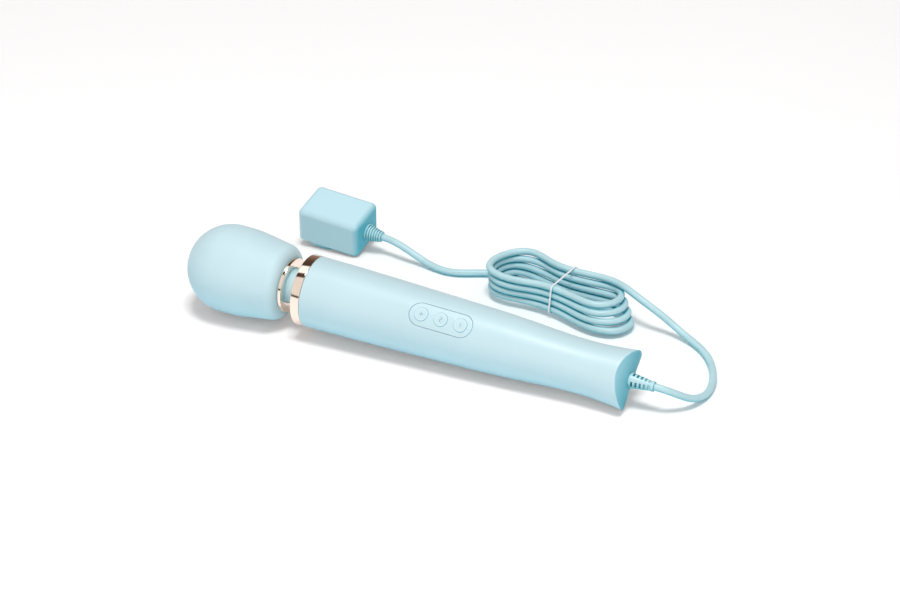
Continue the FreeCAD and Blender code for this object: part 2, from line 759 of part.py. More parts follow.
def blade_slots():
    """Two slots the folded blades lie in, with the round pocket for their hub."""
    slots = []
    for side in (-1, 1):
        y = side * BLADE_SPACING / 2
        slots.append(block(BLADE_HUB_X - BLADE_LENGTH - 0.6, BLADE_HUB_X + 3.5, y - 1.0, y + 1.0,
                           PLATE_FACE - 1, HUB_Z + 3.5))
    hub_pocket = Part.makeCylinder(2.75, 17.8, Vector(BLADE_HUB_X, -8.9, HUB_Z), Y_AXIS)
    return group(slots + [hub_pocket])


def adapter_base():
    """Bottom lid of the adapter with the moulded well for the folding blades."""
    lid = rounded_box(HALF_L - ADAPTER_WALL - FIT_GAP, HALF_W - ADAPTER_WALL - FIT_GAP,
                      -HALF_H + 0.02, LID_TOP + 2.0, ADAPTER_EDGE_R - ADAPTER_WALL)
    lid = keep(lid, block(-HALF_L, HALF_L, -HALF_W, HALF_W, -HALF_H, LID_TOP))
    well = block(-19.5, 7.5, -10.4, 10.4, -HALF_H + 0.02, WELL_TOP)
    contact_holes = [block(-7.4, -4.6, y - 0.9, y + 0.9, -10, 0)
                     for y in (-BLADE_SPACING / 2, BLADE_SPACING / 2)]
    return cut(fuse(lid, well), blade_slots(), *contact_holes)


def plug_plate():
    """Raised plate under the adapter that faces the wall socket."""
    plate = stadium(PLATE_LENGTH, PLATE_WIDTH, PLATE_FACE, -HALF_H - 0.02)
    plate.translate(Vector(PLATE_X, PLATE_Y, 0))
    return cut(plate, blade_slots())


def blade_hub():
    """Insulating axle the two blades turn with."""
    axle = Part.makeCylinder(2.65, 17.4, Vector(BLADE_HUB_X, -8.7, HUB_Z), Y_AXIS)
    core = Part.makeCylinder(1.35, 17.4, Vector(BLADE_HUB_X, -8.7, HUB_Z), Y_AXIS)
    gaps = [block(BLADE_HUB_X - 4, BLADE_HUB_X + 4, side * BLADE_SPACING / 2 - 0.77,
                  side * BLADE_SPACING / 2 + 0.77, HUB_Z - 4, HUB_Z + 4) for side in (-1, 1)]
    return fuse(cut(axle, *gaps), core)


def plug_blades():
    """Two flat plug blades, folded into the plate."""
    blades = []
    half = BLADE_WIDTH / 2
    for side in (-1, 1):
        y = side * BLADE_SPACING / 2 - BLADE_THICKNESS / 2
        root = Part.makeCylinder(half, BLADE_THICKNESS, Vector(BLADE_HUB_X, y, HUB_Z), Y_AXIS)
        tip_x = BLADE_HUB_X - BLADE_LENGTH + half
        tip = Part.makeCylinder(half, BLADE_THICKNESS, Vector(tip_x, y, HUB_Z), Y_AXIS)
        straight = block(tip_x, BLADE_HUB_X, y, y + BLADE_THICKNESS, HUB_Z - half, HUB_Z + half)
        hole = Part.makeCylinder(1.38, 10, Vector(BLADE_HUB_X, y - 3, HUB_Z), Y_AXIS)
        blades.append(cut(fuse(root, tip, straight), hole))
    return group(blades)


def blade_contacts():
    """Two spring strips that carry current from the blades to the adapter's board."""
    strips = []
    for side in (-1, 1):
        y = side * BLADE_SPACING / 2
        strip = block(-7.0, 4.0, y - 0.7, y + 0.7, HUB_Z + 3.2, HUB_Z + 3.45)
        leg = block(-7.0, -5.0, y - 0.7, y + 0.7, HUB_Z + 3.2, -6.05)
        strips.append(fuse(strip, leg))
    return group(strips)


def adapter_board():
    """Power supply board of the adapter."""
    return block(-19.5, 19.0, -13.5, 13.5, -6.0, -4.4)


def transformer_core():
    """Ferrite core of the switching transformer, a closed frame round its bobbin."""
    frame = block(-8, 8, -8.5, 8.5, -3.3, 9.0)
    windows = [block(-9, 9, low, low + 4.6, -0.4, 6.2) for low in (-6.4, 1.8)]
    return cut(frame, *windows)


def transformer_winding():
    """Taped winding round the middle leg of the transformer core."""
    coil_block = block(-6.0, 6.0, -6.2, 6.2, -0.3, 6.1)
    centre_leg = block(-9, 9, -1.9, 1.9, -1, 7)
    return cut(coil_block, centre_leg)


def adapter_capacitors():
    """Mains and output smoothing capacitors."""
    return group([post(-4.35, 8.0, 4.2, -14.5, 6.0), post(-4.35, 6.0, 3.2, 14.5, -7.5),
                  post(-4.35, 3.0, 2.6, -14.5, -7.5)])


def adapter_strain_relief():
    """Ribbed boot where the cord leaves the adapter."""
    start = HALF_L
    tip = HALF_L + ADAPTER_BOOT_LENGTH
    base_r, tip_r = 6.2, 3.6
    ribs, rib_height = 6, 0.6
    collar_end = start + 1.4
    pitch = (tip - collar_end) / ribs
    outline = [(start + 0.05, 0), (start + 0.05, base_r + 0.3), (collar_end, base_r + 0.3)]
    for rib in range(ribs):
        x = collar_end + pitch * rib
        radius = base_r - (base_r - tip_r) * (x - start) / ADAPTER_BOOT_LENGTH
        outline += [(x, radius - rib_height), (x + pitch * 0.4, radius - rib_height),
                    (x + pitch * 0.5, radius), (x + pitch, radius)]
    outline.append((tip, 0))
    collar = rod(start - ADAPTER_WALL - 0.2, start + 0.5, 4.2)
    flange = rod(start - ADAPTER_WALL - 1.8, start - ADAPTER_WALL - 0.1, 5.6)
    boot = cut(fuse(turned(outline), collar, flange), rod(start - 8, tip + 1, ADAPTER_BOOT_BORE_R))
    return boot.translated(Vector(0, 0, ADAPTER_BOOT_Z))


# ---------------------------------------------------------------- placements
# The wand rests on the start of the head's taper and on its tail.
WAND_REST_HEIGHT = TAPER_R - (TAPER_R - HEAD_R) * math.cos(math.radians(WAND_PITCH))
WAND_PLACE = Placement(Vector(TAPER_START - HEAD_R, 0, WAND_REST_HEIGHT),
                       Rotation(Y_AXIS, WAND_PITCH) * Rotation(X_AXIS, WAND_ROLL))
WAND_PLACE = WAND_PLACE * Placement(Vector(-TAPER_START, 0, 0), Rotation())
ADAPTER_PLACE = Placement(ADAPTER_CENTRE, Rotation(Z_AXIS, ADAPTER_YAW) * Rotation(X_AXIS, ADAPTER_TIP_SIDE)
                          * Rotation(Y_AXIS, ADAPTER_TIP_END))


# ---------------------------------------------------------------- cord
COIL_TURNS = 4
COIL_START_ANGLE = 39.0
COIL_EXTRA_ANGLE = 106.0
COIL_HALF_LENGTH = 56.0
COIL_BLUNTNESS = 0.1
COIL_WAIST = 1.75
COIL_MIDDLE = Vector(208.8, 97.2, 0)
COIL_DIRECTION = -11.0
COIL_HEIGHT = 22.0
COIL_STEPS_PER_TURN = 12
# At the left and right ends: half width of the floor turn, and what the top turn adds to it,
# then how far the top turn is shifted along and across the bundle.
COIL_LEFT_END = (11.6, 4.4, 1.0, 1.0)
COIL_RIGHT_END = (12.3, -2.3, -14.8, 6.4)
CORD_REST = CORD_R + 0.05
CORD_SECTIONS = 180
CORD_SECTIONS_PER_FACE = 6
COIL_PLACE = Placement(COIL_MIDDLE, Rotation(Z_AXIS, COIL_DIRECTION))
COIL_SWEEP = 360.0 * COIL_TURNS + COIL_EXTRA_ANGLE


def coil_point(angle_deg):
    """Centre of the wound cord in the bundle's own frame, from the top turn down to the floor."""
    angle = math.radians(angle_deg)
    level = 1 - (angle_deg - COIL_START_ANGLE) / COIL_SWEEP
    right = (1 + math.cos(angle)) / 2
    width, widening, slide, lean = (
        right * at_right + (1 - right) * at_left for at_left, at_right in zip(COIL_LEFT_END, COIL_RIGHT_END)
    )
    along = COIL_HALF_LENGTH * math.cos(angle) * (1 + COIL_BLUNTNESS * math.sin(angle) ** 2) + slide * level
    across = (width + widening * level) * math.sin(angle) * (1 + COIL_WAIST * math.cos(angle) ** 2)
    return Vector(along, across + lean * level, CORD_REST + COIL_HEIGHT * level)


def cord():
    """The cord from inside the tail, round its bundle, to inside the adapter."""
    straight = (283.0, 290.0, 300.0, 310.0, 320.0, 328.0, 336.0, 344.0, 348.0, BOOT_TIP, BOOT_TIP + 1.5)
    wand_end = [WAND_PLACE.multVec(Vector(x, 0, 0)) for x in straight]
    on_floor = CORD_REST + 0.05
    wand_lead = [
        Vector(327.8, 1.9, 16.9), Vector(332.6, 5.6, 13.7), Vector(337.2, 10.2, 10.0), Vector(340.7, 15.9, 6.5),
        Vector(343.3, 23.1, 3.9), Vector(344.8, 31.2, on_floor), Vector(343.9, 43.0, on_floor),
        Vector(339.4, 57.6, on_floor), Vector(331.0, 73.0, on_floor), Vector(319.0, 86.0, on_floor),
        Vector(304.0, 94.5, 4.6), Vector(286.0, 98.4, 13.0), Vector(267.2, 100.5, 21.6),
    ]
    count = COIL_TURNS * COIL_STEPS_PER_TURN
    bundle = [COIL_PLACE.multVec(coil_point(COIL_START_ANGLE + COIL_SWEEP * step / count))
              for step in range(count + 1)]
    adapter_lead = [Vector(142.0, 119.0, CORD_REST), Vector(118.0, 109.0, CORD_REST),
                    Vector(95.0, 111.8, 4.4), Vector(73.0, 114.3, 12.0)]
    beyond_tip, inside = ADAPTER_BOOT_LENGTH + 1.5, -3.5
    adapter_end = [ADAPTER_PLACE.multVec(Vector(HALF_L + x, 0, ADAPTER_BOOT_Z))
                   for x in (beyond_tip, ADAPTER_BOOT_LENGTH, 8.0, 4.0, 0.0, inside)]
    points = wand_end + wand_lead + bundle + adapter_lead + adapter_end
    return round_rope(points, CORD_R, CORD_SECTIONS, CORD_SECTIONS_PER_FACE)


TIE_WIDTH = 1.4
TIE_THICKNESS = 0.5
TIE_SLACK = 0.35


def waist_crossing(near_angle):
    """Where the wound cord crosses the middle of the bundle's length, close to the given angle."""
    low, high = near_angle - 45.0, near_angle + 45.0
    falling = coil_point(low).x > 0
    for _ in range(40):
        middle = (low + high) / 2
        if (coil_point(middle).x > 0) == falling:
            low = middle
        else:
            high = middle
    return coil_point(low)


def cord_tie():
    """Thin plastic tie round the waist of the bundle."""
    last_turn = 360.0 * (COIL_TURNS - 1)
    corners = [waist_crossing(angle) for angle in (90.0, 270.0, last_turn + 270.0, last_turn + 450.0)]
    points = [Vector(0, corner.y, corner.z) for corner in corners]
    waist = Part.makePolygon(points + [points[0]])
    reach = CORD_R + TIE_SLACK
    inner = Part.Face(waist.makeOffset2D(reach))
    outer = Part.Face(waist.makeOffset2D(reach + TIE_THICKNESS))
    band = outer.cut(inner).Faces[0].extrude(Vector(TIE_WIDTH, 0, 0))
    band.Placement = COIL_PLACE * Placement(Vector(-TIE_WIDTH / 2, 0, 0), Rotation())
    return band


# ---------------------------------------------------------------- assembly
WAND_PARTS = (
    head_cover, head_cage_upper, head_cage_lower, head_cage_screws, head_collar,
    motor_isolators, motor_can, motor_magnets, motor_end_bell, motor_bushes, motor_brushes,
    motor_shaft, motor_armature, motor_commutator, eccentric_weight,
    neck_anchor_head, neck_anchor_handle, neck_anchor_screws, neck_sleeve, neck_spring,
    handle_collar, handle_tube, button_panel, button_plus, button_mode, button_minus,
    plunger_plus, plunger_mode, plunger_minus, keypad_seal, switch_housings, switch_domes,
    carrier, main_board, board_components, board_screws, motor_leads, power_leads,
    cord_clamp, cord_clamp_screws, tail_cap, tail_strain_relief,
)
ADAPTER_PARTS = (
    adapter_body, adapter_base, plug_plate, blade_hub, plug_blades, blade_contacts,
    adapter_board, transformer_core, transformer_winding, adapter_capacitors, adapter_strain_relief,
)
LAID_PARTS = (cord, cord_tie)
# The origin is on the floor, in the middle of the whole object's footprint.
FOOTPRINT_MIDDLE = Vector(158.1, 52.07, 0)


def main():
    os.makedirs("parts", exist_ok=True)
    for parts, place in ((WAND_PARTS, WAND_PLACE), (ADAPTER_PARTS, ADAPTER_PLACE), (LAID_PARTS, Placement())):
        for part in parts:
            shape = part()
            shape.Placement = Placement(-FOOTPRINT_MIDDLE, Rotation()) * place * shape.Placement
            shape.exportStep("parts/" + part.__name__ + ".step")


main()
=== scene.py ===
import json
import math

import bmesh
import bpy
import numpy as np
from mathutils import Matrix, Vector


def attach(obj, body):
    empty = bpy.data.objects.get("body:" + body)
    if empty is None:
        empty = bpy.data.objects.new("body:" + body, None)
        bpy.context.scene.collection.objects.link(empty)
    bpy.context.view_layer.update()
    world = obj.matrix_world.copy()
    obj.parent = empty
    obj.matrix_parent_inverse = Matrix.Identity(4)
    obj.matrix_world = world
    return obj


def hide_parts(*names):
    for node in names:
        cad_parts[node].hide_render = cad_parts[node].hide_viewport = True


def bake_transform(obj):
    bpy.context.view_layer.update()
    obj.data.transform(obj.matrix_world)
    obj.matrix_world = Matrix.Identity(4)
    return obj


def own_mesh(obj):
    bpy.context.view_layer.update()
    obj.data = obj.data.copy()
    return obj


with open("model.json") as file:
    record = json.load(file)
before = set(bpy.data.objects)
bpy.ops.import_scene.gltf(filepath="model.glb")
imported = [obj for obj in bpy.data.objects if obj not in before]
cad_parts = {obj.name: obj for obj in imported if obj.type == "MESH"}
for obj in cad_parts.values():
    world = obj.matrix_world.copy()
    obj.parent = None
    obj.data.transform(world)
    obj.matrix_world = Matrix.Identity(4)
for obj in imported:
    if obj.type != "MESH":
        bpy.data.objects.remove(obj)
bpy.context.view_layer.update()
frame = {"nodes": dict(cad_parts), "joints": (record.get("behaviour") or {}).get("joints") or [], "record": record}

# Handheld wand massager with its cord and mains adapter: looks, light and camera.
# Lengths in the shape functions are millimetres in a part's own frame; build() turns them into row metres.

MM = 0.001
JOINTS = {joint["name"]: joint for joint in frame["joints"]}
MOUNTS = {mount["name"]: mount for mount in frame["record"]["mounts"]}

# ---------------------------------------------------------------- dimensions shared with the CAD, in mm
WAND_LENGTH = 334.2
HEAD_R = 31.1
TAPER_START = 40.0
TAPER_R = 60.0
TAPER_DEG = 8.5
HEAD_REAR = 77.0
HEAD_CORNER_R = 8.5
COVER_WALL = 2.5
NECK_OPENING_R = 13.6
COLLAR_END = 80.0
COLLAR_R = 19.5
NECK_BORE_R = 12.5
NECK_R = 12.2
NECK_PIVOT = 85.25
SLEEVE_START = HEAD_REAR + 0.4
SLEEVE_END = 96.6
SPIGOT_R = 10.4
FRONT_RING_START = 90.5
HANDLE_START = 97.3
FRONT_R = 25.1
HANDLE_WALL = 2.5
TAIL_END_R = 30.0
TAIL_HALF_WIDTH = 20.9
TAIL_HALF_DEPTH = 18.0
PANEL_CENTRE = 200.8
PANEL_LENGTH = 46.0
PANEL_WIDTH = 16.2
PANEL_GAP = 0.25
BUTTON_R = 4.75
BUTTON_GAP = 0.1
BUTTON_PITCH = 14.45
BUTTON_PROUD = 0.4
BUTTON_PLACES = {
    "plus": PANEL_CENTRE - BUTTON_PITCH,
    "mode": PANEL_CENTRE,
    "minus": PANEL_CENTRE + BUTTON_PITCH,
}
CORD_R = 2.4
BOOT_BASE_R = 5.4
BOOT_LENGTH = 16.8
BLADE_HUB_X = 2.0
BLADE_HUB_DEPTH = 3.5
ADAPTER_LENGTH = 48.5
ADAPTER_HEIGHT = 27.0
PLATE_THICKNESS = 3.3
FOOTPRINT_MIDDLE = Vector((158.1, 52.07, 0.0))


# ---------------------------------------------------------------- frames
def frame_matrix(origin, along, outward):
    """Row-frame matrix of a part frame from its origin, X direction and Z direction."""
    across = outward.cross(along).normalized()
    matrix = Matrix((along, across, outward)).transposed().to_4x4()
    matrix.translation = origin
    return matrix


def wand_frame():
    """The wand's frame, from the motor's axis, the way the buttons face and the neck's pivot."""
    along = Vector(JOINTS["motor_spin"]["axis"])
    outward = -Vector(JOINTS["mode_button_press"]["axis"])
    pivot = Vector(JOINTS["neck_bend_across"]["pos_m"])
    return frame_matrix(pivot - along * NECK_PIVOT * MM, along, outward)


def adapter_frame():
    """The adapter's frame, from its plug face and the hinge of its blades."""
    outward = -Vector(MOUNTS["plug_face"]["axis"])
    across = -Vector(JOINTS["plug_blades_fold"]["axis"])
    along = across.cross(outward).normalized()
    hub = Vector(JOINTS["plug_blades_fold"]["pos_m"])
    hub_height = -ADAPTER_HEIGHT / 2 - PLATE_THICKNESS + BLADE_HUB_DEPTH
    return frame_matrix(hub - along * BLADE_HUB_X * MM - outward * hub_height * MM, along, outward)


WAND = wand_frame()
ADAPTER = adapter_frame()
LAYOUT = Matrix.Translation(-FOOTPRINT_MIDDLE * MM)


# ---------------------------------------------------------------- materials
# The blue, case and cord pairs below are lit and shaded copies of one colour each, mixed by lit_side as painted
# light and shade.
SHADED_BLUE = (0.26, 0.60, 0.73, 1.0)
LIT_BLUE = (0.54, 0.72, 0.775, 1.0)
CASE_SHADED = (0.03, 0.42, 0.54, 1.0)
CASE_LIT = (0.49, 0.71, 0.78, 1.0)
CORD_SHADED = (0.04, 0.43, 0.53, 1.0)
CORD_LIT = (0.46, 0.68, 0.73, 1.0)
ROSE_GOLD = (0.94, 0.79, 0.69, 1.0)
MARK_GREY = (0.26, 0.36, 0.40, 1.0)
WHITE = (1.0, 1.0, 1.0, 1.0)
BOUNCE_GREY = (0.60, 0.565, 0.55, 1.0)
# Directions the painted light comes from: each colour turns to its lit copy towards one and to its shaded copy
# away from it.
HEAD_LIGHT_SIDE = (0.30, -0.24, 0.923)
HANDLE_LIGHT_SIDE = (-0.45, -0.20, 0.87)
CASE_LIGHT_SIDE = (-0.5, -0.5, 0.707)
# The part of a texture's output that is used, from its low end to its high end.
NOISE_SPAN = (0.3, 0.7)
# The span of pointiness over which the painted edge highlight grows.
EDGE_SPAN = (0.5, 0.58)
# The span of occlusion over which the painted crevice shade fades out.
CREVICE_SHADE_SPAN = (0.25, 0.9)
GLOSS_SWING = 0.03
# CAD nodes drawn in the case material, whose darker colours are painted shade, instead of the finish of their
# material slot.
CASE_NODES = ("adapter_body", "plug_plate", "adapter_base")


def node(tree, kind, settings=None, inputs=None):
    """A shader node with its settings and inputs; an input that is a socket is linked."""
    made = tree.nodes.new("ShaderNode" + kind)
    for name, value in (settings or {}).items():
        setattr(made, name, value)
    for name, value in (inputs or {}).items():
        if isinstance(value, bpy.types.NodeSocket):
            tree.links.new(value, made.inputs[name])
        else:
            made.inputs[name].default_value = value
    return made


def scaled(tree, socket, low, high, source=(0.0, 1.0)):
    """A socket mapped from one range to another."""
    mapped = node(tree, "MapRange", None, {
        "Value": socket, "From Min": source[0], "From Max": source[1], "To Min": low, "To Max": high,
    })
    return mapped.outputs["Result"]


def noise(tree, vector, size_mm, detail=3.0):
    """Smooth noise whose blobs are about size_mm across."""
    made = node(tree, "TexNoise", None, {"Vector": vector, "Scale": 1.0 / (size_mm * MM), "Detail": detail})
    return made.outputs["Fac"]


def finish(name, colour, roughness, grain_mm=0.25, grain_depth_mm=0.004, drift=0.04, drift_mm=28.0,
           metallic=0.0, edge_light=0.06, stretch=(1.0, 1.0, 1.0), pattern=None, **extra):
    """A procedural surface: base colour that drifts a little, fine grain, uneven gloss and a painted highlight on
    sharp edges.
    """
    material = bpy.data.materials.new(name)
    material.use_nodes = True
    tree = material.node_tree
    shader = tree.nodes["Principled BSDF"]
    place = node(tree, "TexCoord").outputs["Object"]
    stretched = node(tree, "Mapping", None, {"Vector": place, "Scale": stretch}).outputs["Vector"]
    base = pattern(tree, place) if pattern else colour
    wander = noise(tree, place, drift_mm, 2.0)
    shade = scaled(tree, wander, 1.0 - drift, 1.0 + drift, NOISE_SPAN)
    # Painted highlight: the colour is lightened by edge_light on sharp, pointy edges.
    edge_highlight_mask = node(tree, "NewGeometry").outputs["Pointiness"]
    rim = scaled(tree, edge_highlight_mask, 1.0, 1.0 + edge_light, EDGE_SPAN)
    value = node(tree, "Math", {"operation": "MULTIPLY"}, {0: shade, 1: rim}).outputs[0]
    tinted = node(tree, "HueSaturation", None, {"Color": base, "Value": value})
    grain = noise(tree, stretched, grain_mm, 4.0)
    gloss = node(tree, "Math", {"operation": "ADD"}, {
        0: scaled(tree, wander, -GLOSS_SWING, GLOSS_SWING),
        1: scaled(tree, grain, roughness - GLOSS_SWING, roughness + GLOSS_SWING),
    }).outputs[0]
    bump = node(tree, "Bump", None, {"Strength": 1.0, "Distance": grain_depth_mm * MM, "Height": grain})
    links = {"Base Color": tinted.outputs["Color"], "Roughness": gloss, "Normal": bump.outputs["Normal"]}
    for socket, source in links.items():
        tree.links.new(source, shader.inputs[socket])
    shader.inputs["Metallic"].default_value = metallic
    for socket, value in extra.items():
        shader.inputs[socket.replace("_", " ")].default_value = value
    return material


def two_tone(first, second, kind, scale_mm, low, high, **settings):
    """A pattern of one texture, first colour below the low value and second colour above the high value."""
    def pattern(tree, place):
        texture = node(tree, kind, settings, {"Vector": place, "Scale": 1.0 / (scale_mm * MM)})
        output = texture.outputs["Distance"] if kind == "TexVoronoi" else texture.outputs["Fac"]
        ramp = node(tree, "ValToRGB", None, {"Fac": output})
        ramp.color_ramp.elements[0].position = low
        ramp.color_ramp.elements[0].color = first
        ramp.color_ramp.elements[1].position = high
        ramp.color_ramp.elements[1].color = second
        return ramp.outputs["Color"]
    return pattern


def lit_side(deep, pale, low, high, light, crevice_mm=5.0, muting=0.8):
    """Painted light and shade: a colour that is pale towards the light and deeper where turned away, with painted
    shade where covered within crevice_mm.

    The amount of the pale, lit colour grows from none at low to all at high, as the surface turns to the light.
    What the surface throws on its neighbours is muted towards grey.
    """
    def pattern(tree, place):
        normal = node(tree, "NewGeometry").outputs["Normal"]
        dot = node(tree, "VectorMath", {"operation": "DOT_PRODUCT"}, {0: normal, 1: light})
        # Painted shade in crevices: where occlusion closes in within crevice_mm, the colour goes to the deep one.
        opened = node(tree, "AmbientOcclusion", {"samples": 8}, {"Distance": crevice_mm * MM}).outputs["AO"]
        turned = scaled(tree, dot.outputs["Value"], 0.0, 1.0, (low, high))
        clear = scaled(tree, opened, 0.0, 1.0, CREVICE_SHADE_SPAN)
        amount = node(tree, "Math", {"operation": "MULTIPLY"}, {0: turned, 1: clear}).outputs[0]
        mixed = node(tree, "MixRGB", None, {"Fac": amount, "Color1": deep, "Color2": pale}).outputs["Color"]
        bounced = node(tree, "LightPath").outputs["Is Diffuse Ray"]
        muted = scaled(tree, bounced, 0.0, muting)
        seen = node(tree, "MixRGB", None, {"Fac": muted, "Color1": mixed, "Color2": BOUNCE_GREY})
        return seen.outputs["Color"]
    return pattern


def make_materials():
    """Every finish, by the name of the record's material slot."""
    return {
        # The aqua silicone, satin plastic, case and cord colours paint light and shade through lit_side.
        "aqua_silicone": finish("aqua_silicone", LIT_BLUE, 0.56, 0.35, 0.006, 0.02, 34.0,
                                pattern=lit_side(SHADED_BLUE, LIT_BLUE, -0.85, 0.55, HEAD_LIGHT_SIDE),
                                Sheen_Weight=0.12, Sheen_Roughness=0.45, Specular_IOR_Level=0.45),
        "aqua_satin_plastic": finish("aqua_satin_plastic", LIT_BLUE, 0.39, 0.16, 0.0025, 0.015, 40.0,
                                     pattern=lit_side(SHADED_BLUE, LIT_BLUE, -0.75, 0.50, HANDLE_LIGHT_SIDE),
                                     Coat_Weight=0.2, Coat_Roughness=0.32, Specular_IOR_Level=0.5),
        "case_plastic": finish("case_plastic", CASE_LIT, 0.42, 0.16, 0.003, 0.015, 40.0,
                               pattern=lit_side(CASE_SHADED, CASE_LIT, -0.75, 0.60, CASE_LIGHT_SIDE),
                               Specular_IOR_Level=0.16),
        "aqua_cord": finish("aqua_cord", CORD_LIT, 0.42, 0.3, 0.008, 0.04, 16.0,
                            pattern=lit_side(CORD_SHADED, CORD_LIT, -0.5, 0.5, HEAD_LIGHT_SIDE, 4.0, 0.0),
                            Specular_IOR_Level=0.5),
        "rose_gold": finish("rose_gold", ROSE_GOLD, 0.10, 0.09, 0.0006, 0.03, 12.0, metallic=1.0,
                            edge_light=0.1, stretch=(1.0, 0.04, 0.04)),
        "inner_plastic": finish("inner_plastic", (0.62, 0.64, 0.63, 1), 0.5, 0.3, 0.006),
        "dark_plastic": finish("dark_plastic", (0.035, 0.036, 0.04, 1), 0.42, 0.2, 0.006, 0.12),
        "steel": finish("steel", (0.56, 0.57, 0.58, 1), 0.27, 0.12, 0.002, 0.06, 9.0, metallic=1.0,
                        stretch=(1.0, 0.1, 0.1)),
        "bronze": finish("bronze", (0.55, 0.38, 0.17, 1), 0.42, 0.1, 0.006, 0.12, 1.5, metallic=1.0),
        "copper": finish("copper", (0.72, 0.32, 0.16, 1), 0.28, 0.35, 0.05, 0.15, 1.2, metallic=1.0,
                         stretch=(0.1, 1.0, 1.0)),
        "ferrite": finish("ferrite", (0.045, 0.043, 0.042, 1), 0.6, 0.12, 0.01, 0.2, 1.0,
                          pattern=two_tone((0.03, 0.03, 0.03, 1), (0.1, 0.095, 0.09, 1), "TexNoise",
                                           0.25, 0.5, 0.75)),
        "carbon": finish("carbon", (0.02, 0.02, 0.02, 1), 0.5, 0.08, 0.008, 0.2, 0.8),
        "circuit_board": finish("circuit_board", (0.01, 0.12, 0.05, 1), 0.3, 0.2, 0.004, 0.1, 6.0,
                                pattern=two_tone((0.03, 0.26, 0.1, 1), (0.008, 0.1, 0.04, 1), "TexVoronoi",
                                                 2.4, 0.02, 0.05, feature="DISTANCE_TO_EDGE")),
        "black_rubber": finish("black_rubber", (0.02, 0.02, 0.021, 1), 0.7, 0.25, 0.012, 0.15),
        "white_tie": finish("white_tie", (0.80, 0.84, 0.85, 1), 0.35, 0.2, 0.006, 0.05, 4.0,
                            Subsurface_Weight=0.2, Subsurface_Scale=0.001),
        "blade_brass": finish("blade_brass", (0.72, 0.62, 0.40, 1), 0.25, 0.1, 0.002, 0.05, 5.0, metallic=1.0,
                              stretch=(0.1, 1.0, 1.0)),
        "lead_wire": finish("lead_wire", (0.42, 0.02, 0.02, 1), 0.4, 0.3, 0.006, 0.1),
        "printed_mark": finish("printed_mark", MARK_GREY, 0.45, 0.1, 0.002, 0.08, 3.0),
    }


MATERIALS = make_materials()


def dress_cad_nodes():
    """Every CAD node takes the finish of its own material slot, except the case nodes, which take the darker case
    material as painted shade.
    """
    for name, cad_node in frame["nodes"].items():
        for place in cad_node.material_slots:
            slot = "case_plastic" if name in CASE_NODES else place.material.name.split(".")[0]
            place.material = MATERIALS[slot]


# ---------------------------------------------------------------- mesh helpers
WELD_MM = 1e-4


class Shape:
    """Points in millimetres in a part's frame, and the faces between them."""

    def __init__(self):
        self.points = []
        self.faces = []

    def ring(self, points):
        """Adds the points and returns their numbers."""
        first = len(self.points)
        self.points.extend(Vector(point) for point in points)
        return list(range(first, len(self.points)))

    def bridge(self, low, high, closed=True):
        """Quads between two rows of the same length."""
        count = len(low)
        for index in range(count if closed else count - 1):
            after = (index + 1) % count
            self.faces.append((low[index], low[after], high[after], high[index]))

    def rows(self, rows, closed=True, loop=False):
        """Quads between each row and the next; loop joins the last row to the first."""
        for low, high in zip(rows, rows[1:]):
            self.bridge(low, high, closed)
        if loop:
            self.bridge(rows[-1], rows[0], closed)

    def cap(self, row, point):
        """Triangles from a closed row to one point."""
        centre = self.ring([point])[0]
        for index in range(len(row)):
            self.faces.append((row[index], row[(index + 1) % len(row)], centre))


def shown(name, bm, slot, sharp_deg=40.0):
    """The mesh as a smooth-shaded object with the finish of its material slot."""
    for face in bm.faces:
        face.smooth = True
    mesh = bpy.data.meshes.new(name)
    bm.to_mesh(mesh)
    bm.free()
    mesh.set_sharp_from_angle(angle=math.radians(sharp_deg))
    mesh.materials.append(MATERIALS[slot])
    piece = bpy.data.objects.new(name, mesh)
    bpy.context.scene.collection.objects.link(piece)
    return piece


def build(name, shape, matrix, slot, body=None, replaces=(), bevel_mm=0.0, bevel_deg=50.0, wrap=None):
    """The shape as a finished piece: edges rounded, wrapped on a surface, placed, dressed and riding."""
    raw = bpy.data.meshes.new(name + "_raw")
    raw.from_pydata(shape.points, [], shape.faces)
    bm = bmesh.new()
    bm.from_mesh(raw)
    bpy.data.meshes.remove(raw)
    bmesh.ops.remove_doubles(bm, verts=bm.verts, dist=WELD_MM)
    bmesh.ops.dissolve_degenerate(bm, edges=bm.edges, dist=WELD_MM / 10)
    bmesh.ops.recalc_face_normals(bm, faces=bm.faces)
    if bevel_mm:
        least = math.radians(bevel_deg)
        edges = [edge for edge in bm.edges if len(edge.link_faces) == 2 and edge.calc_face_angle(0) > least]
        bmesh.ops.bevel(bm, geom=edges, offset=bevel_mm, segments=3, profile=0.5, affect="EDGES",
                        clamp_overlap=True)
    for vertex in bm.verts:
        if wrap:
            vertex.co = wrap(vertex.co)
        vertex.co = matrix @ (vertex.co * MM)
    piece = shown(name, bm, slot)
    if replaces:
        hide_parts(*replaces)
    if body:
        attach(piece, body)
    return piece


def circle(radius, count, x=0.0, y=0.0, z=0.0, axis="X"):
    """Points of a circle about an axis parallel to X or Z."""
    points = []
    for index in range(count):
        angle = math.tau * index / count
        a, b = radius * math.cos(angle), radius * math.sin(angle)
        points.append((x, y + a, z + b) if axis == "X" else (x + a, y + b, z))
    return points


def soften(outline, radius, steps=4):
    """An outline with every corner turned into a short curve."""
    corners = [Vector(point) for point in outline]
    smooth = []
    for before, corner, after in zip(corners[-1:] + corners[:-1], corners, corners[1:] + corners[:1]):
        reach = min(radius, (before - corner).length / 2, (after - corner).length / 2)
        start = corner + (before - corner).normalized() * reach
        end = corner + (after - corner).normalized() * reach
        for step in range(steps + 1):
            share = step / steps
            smooth.append(start * (1 - share) ** 2 + corner * 2 * share * (1 - share) + end * share ** 2)
    return smooth


def lathe(outline, count, loop=True):
    """Outline of (x, radius) turned about X: a closed loop, or a line that starts and ends on the axis."""
    shape = Shape()
    rows = [shape.ring(circle(radius, count, x)) for x, radius in outline]
    shape.rows(rows, True, loop)
    return shape


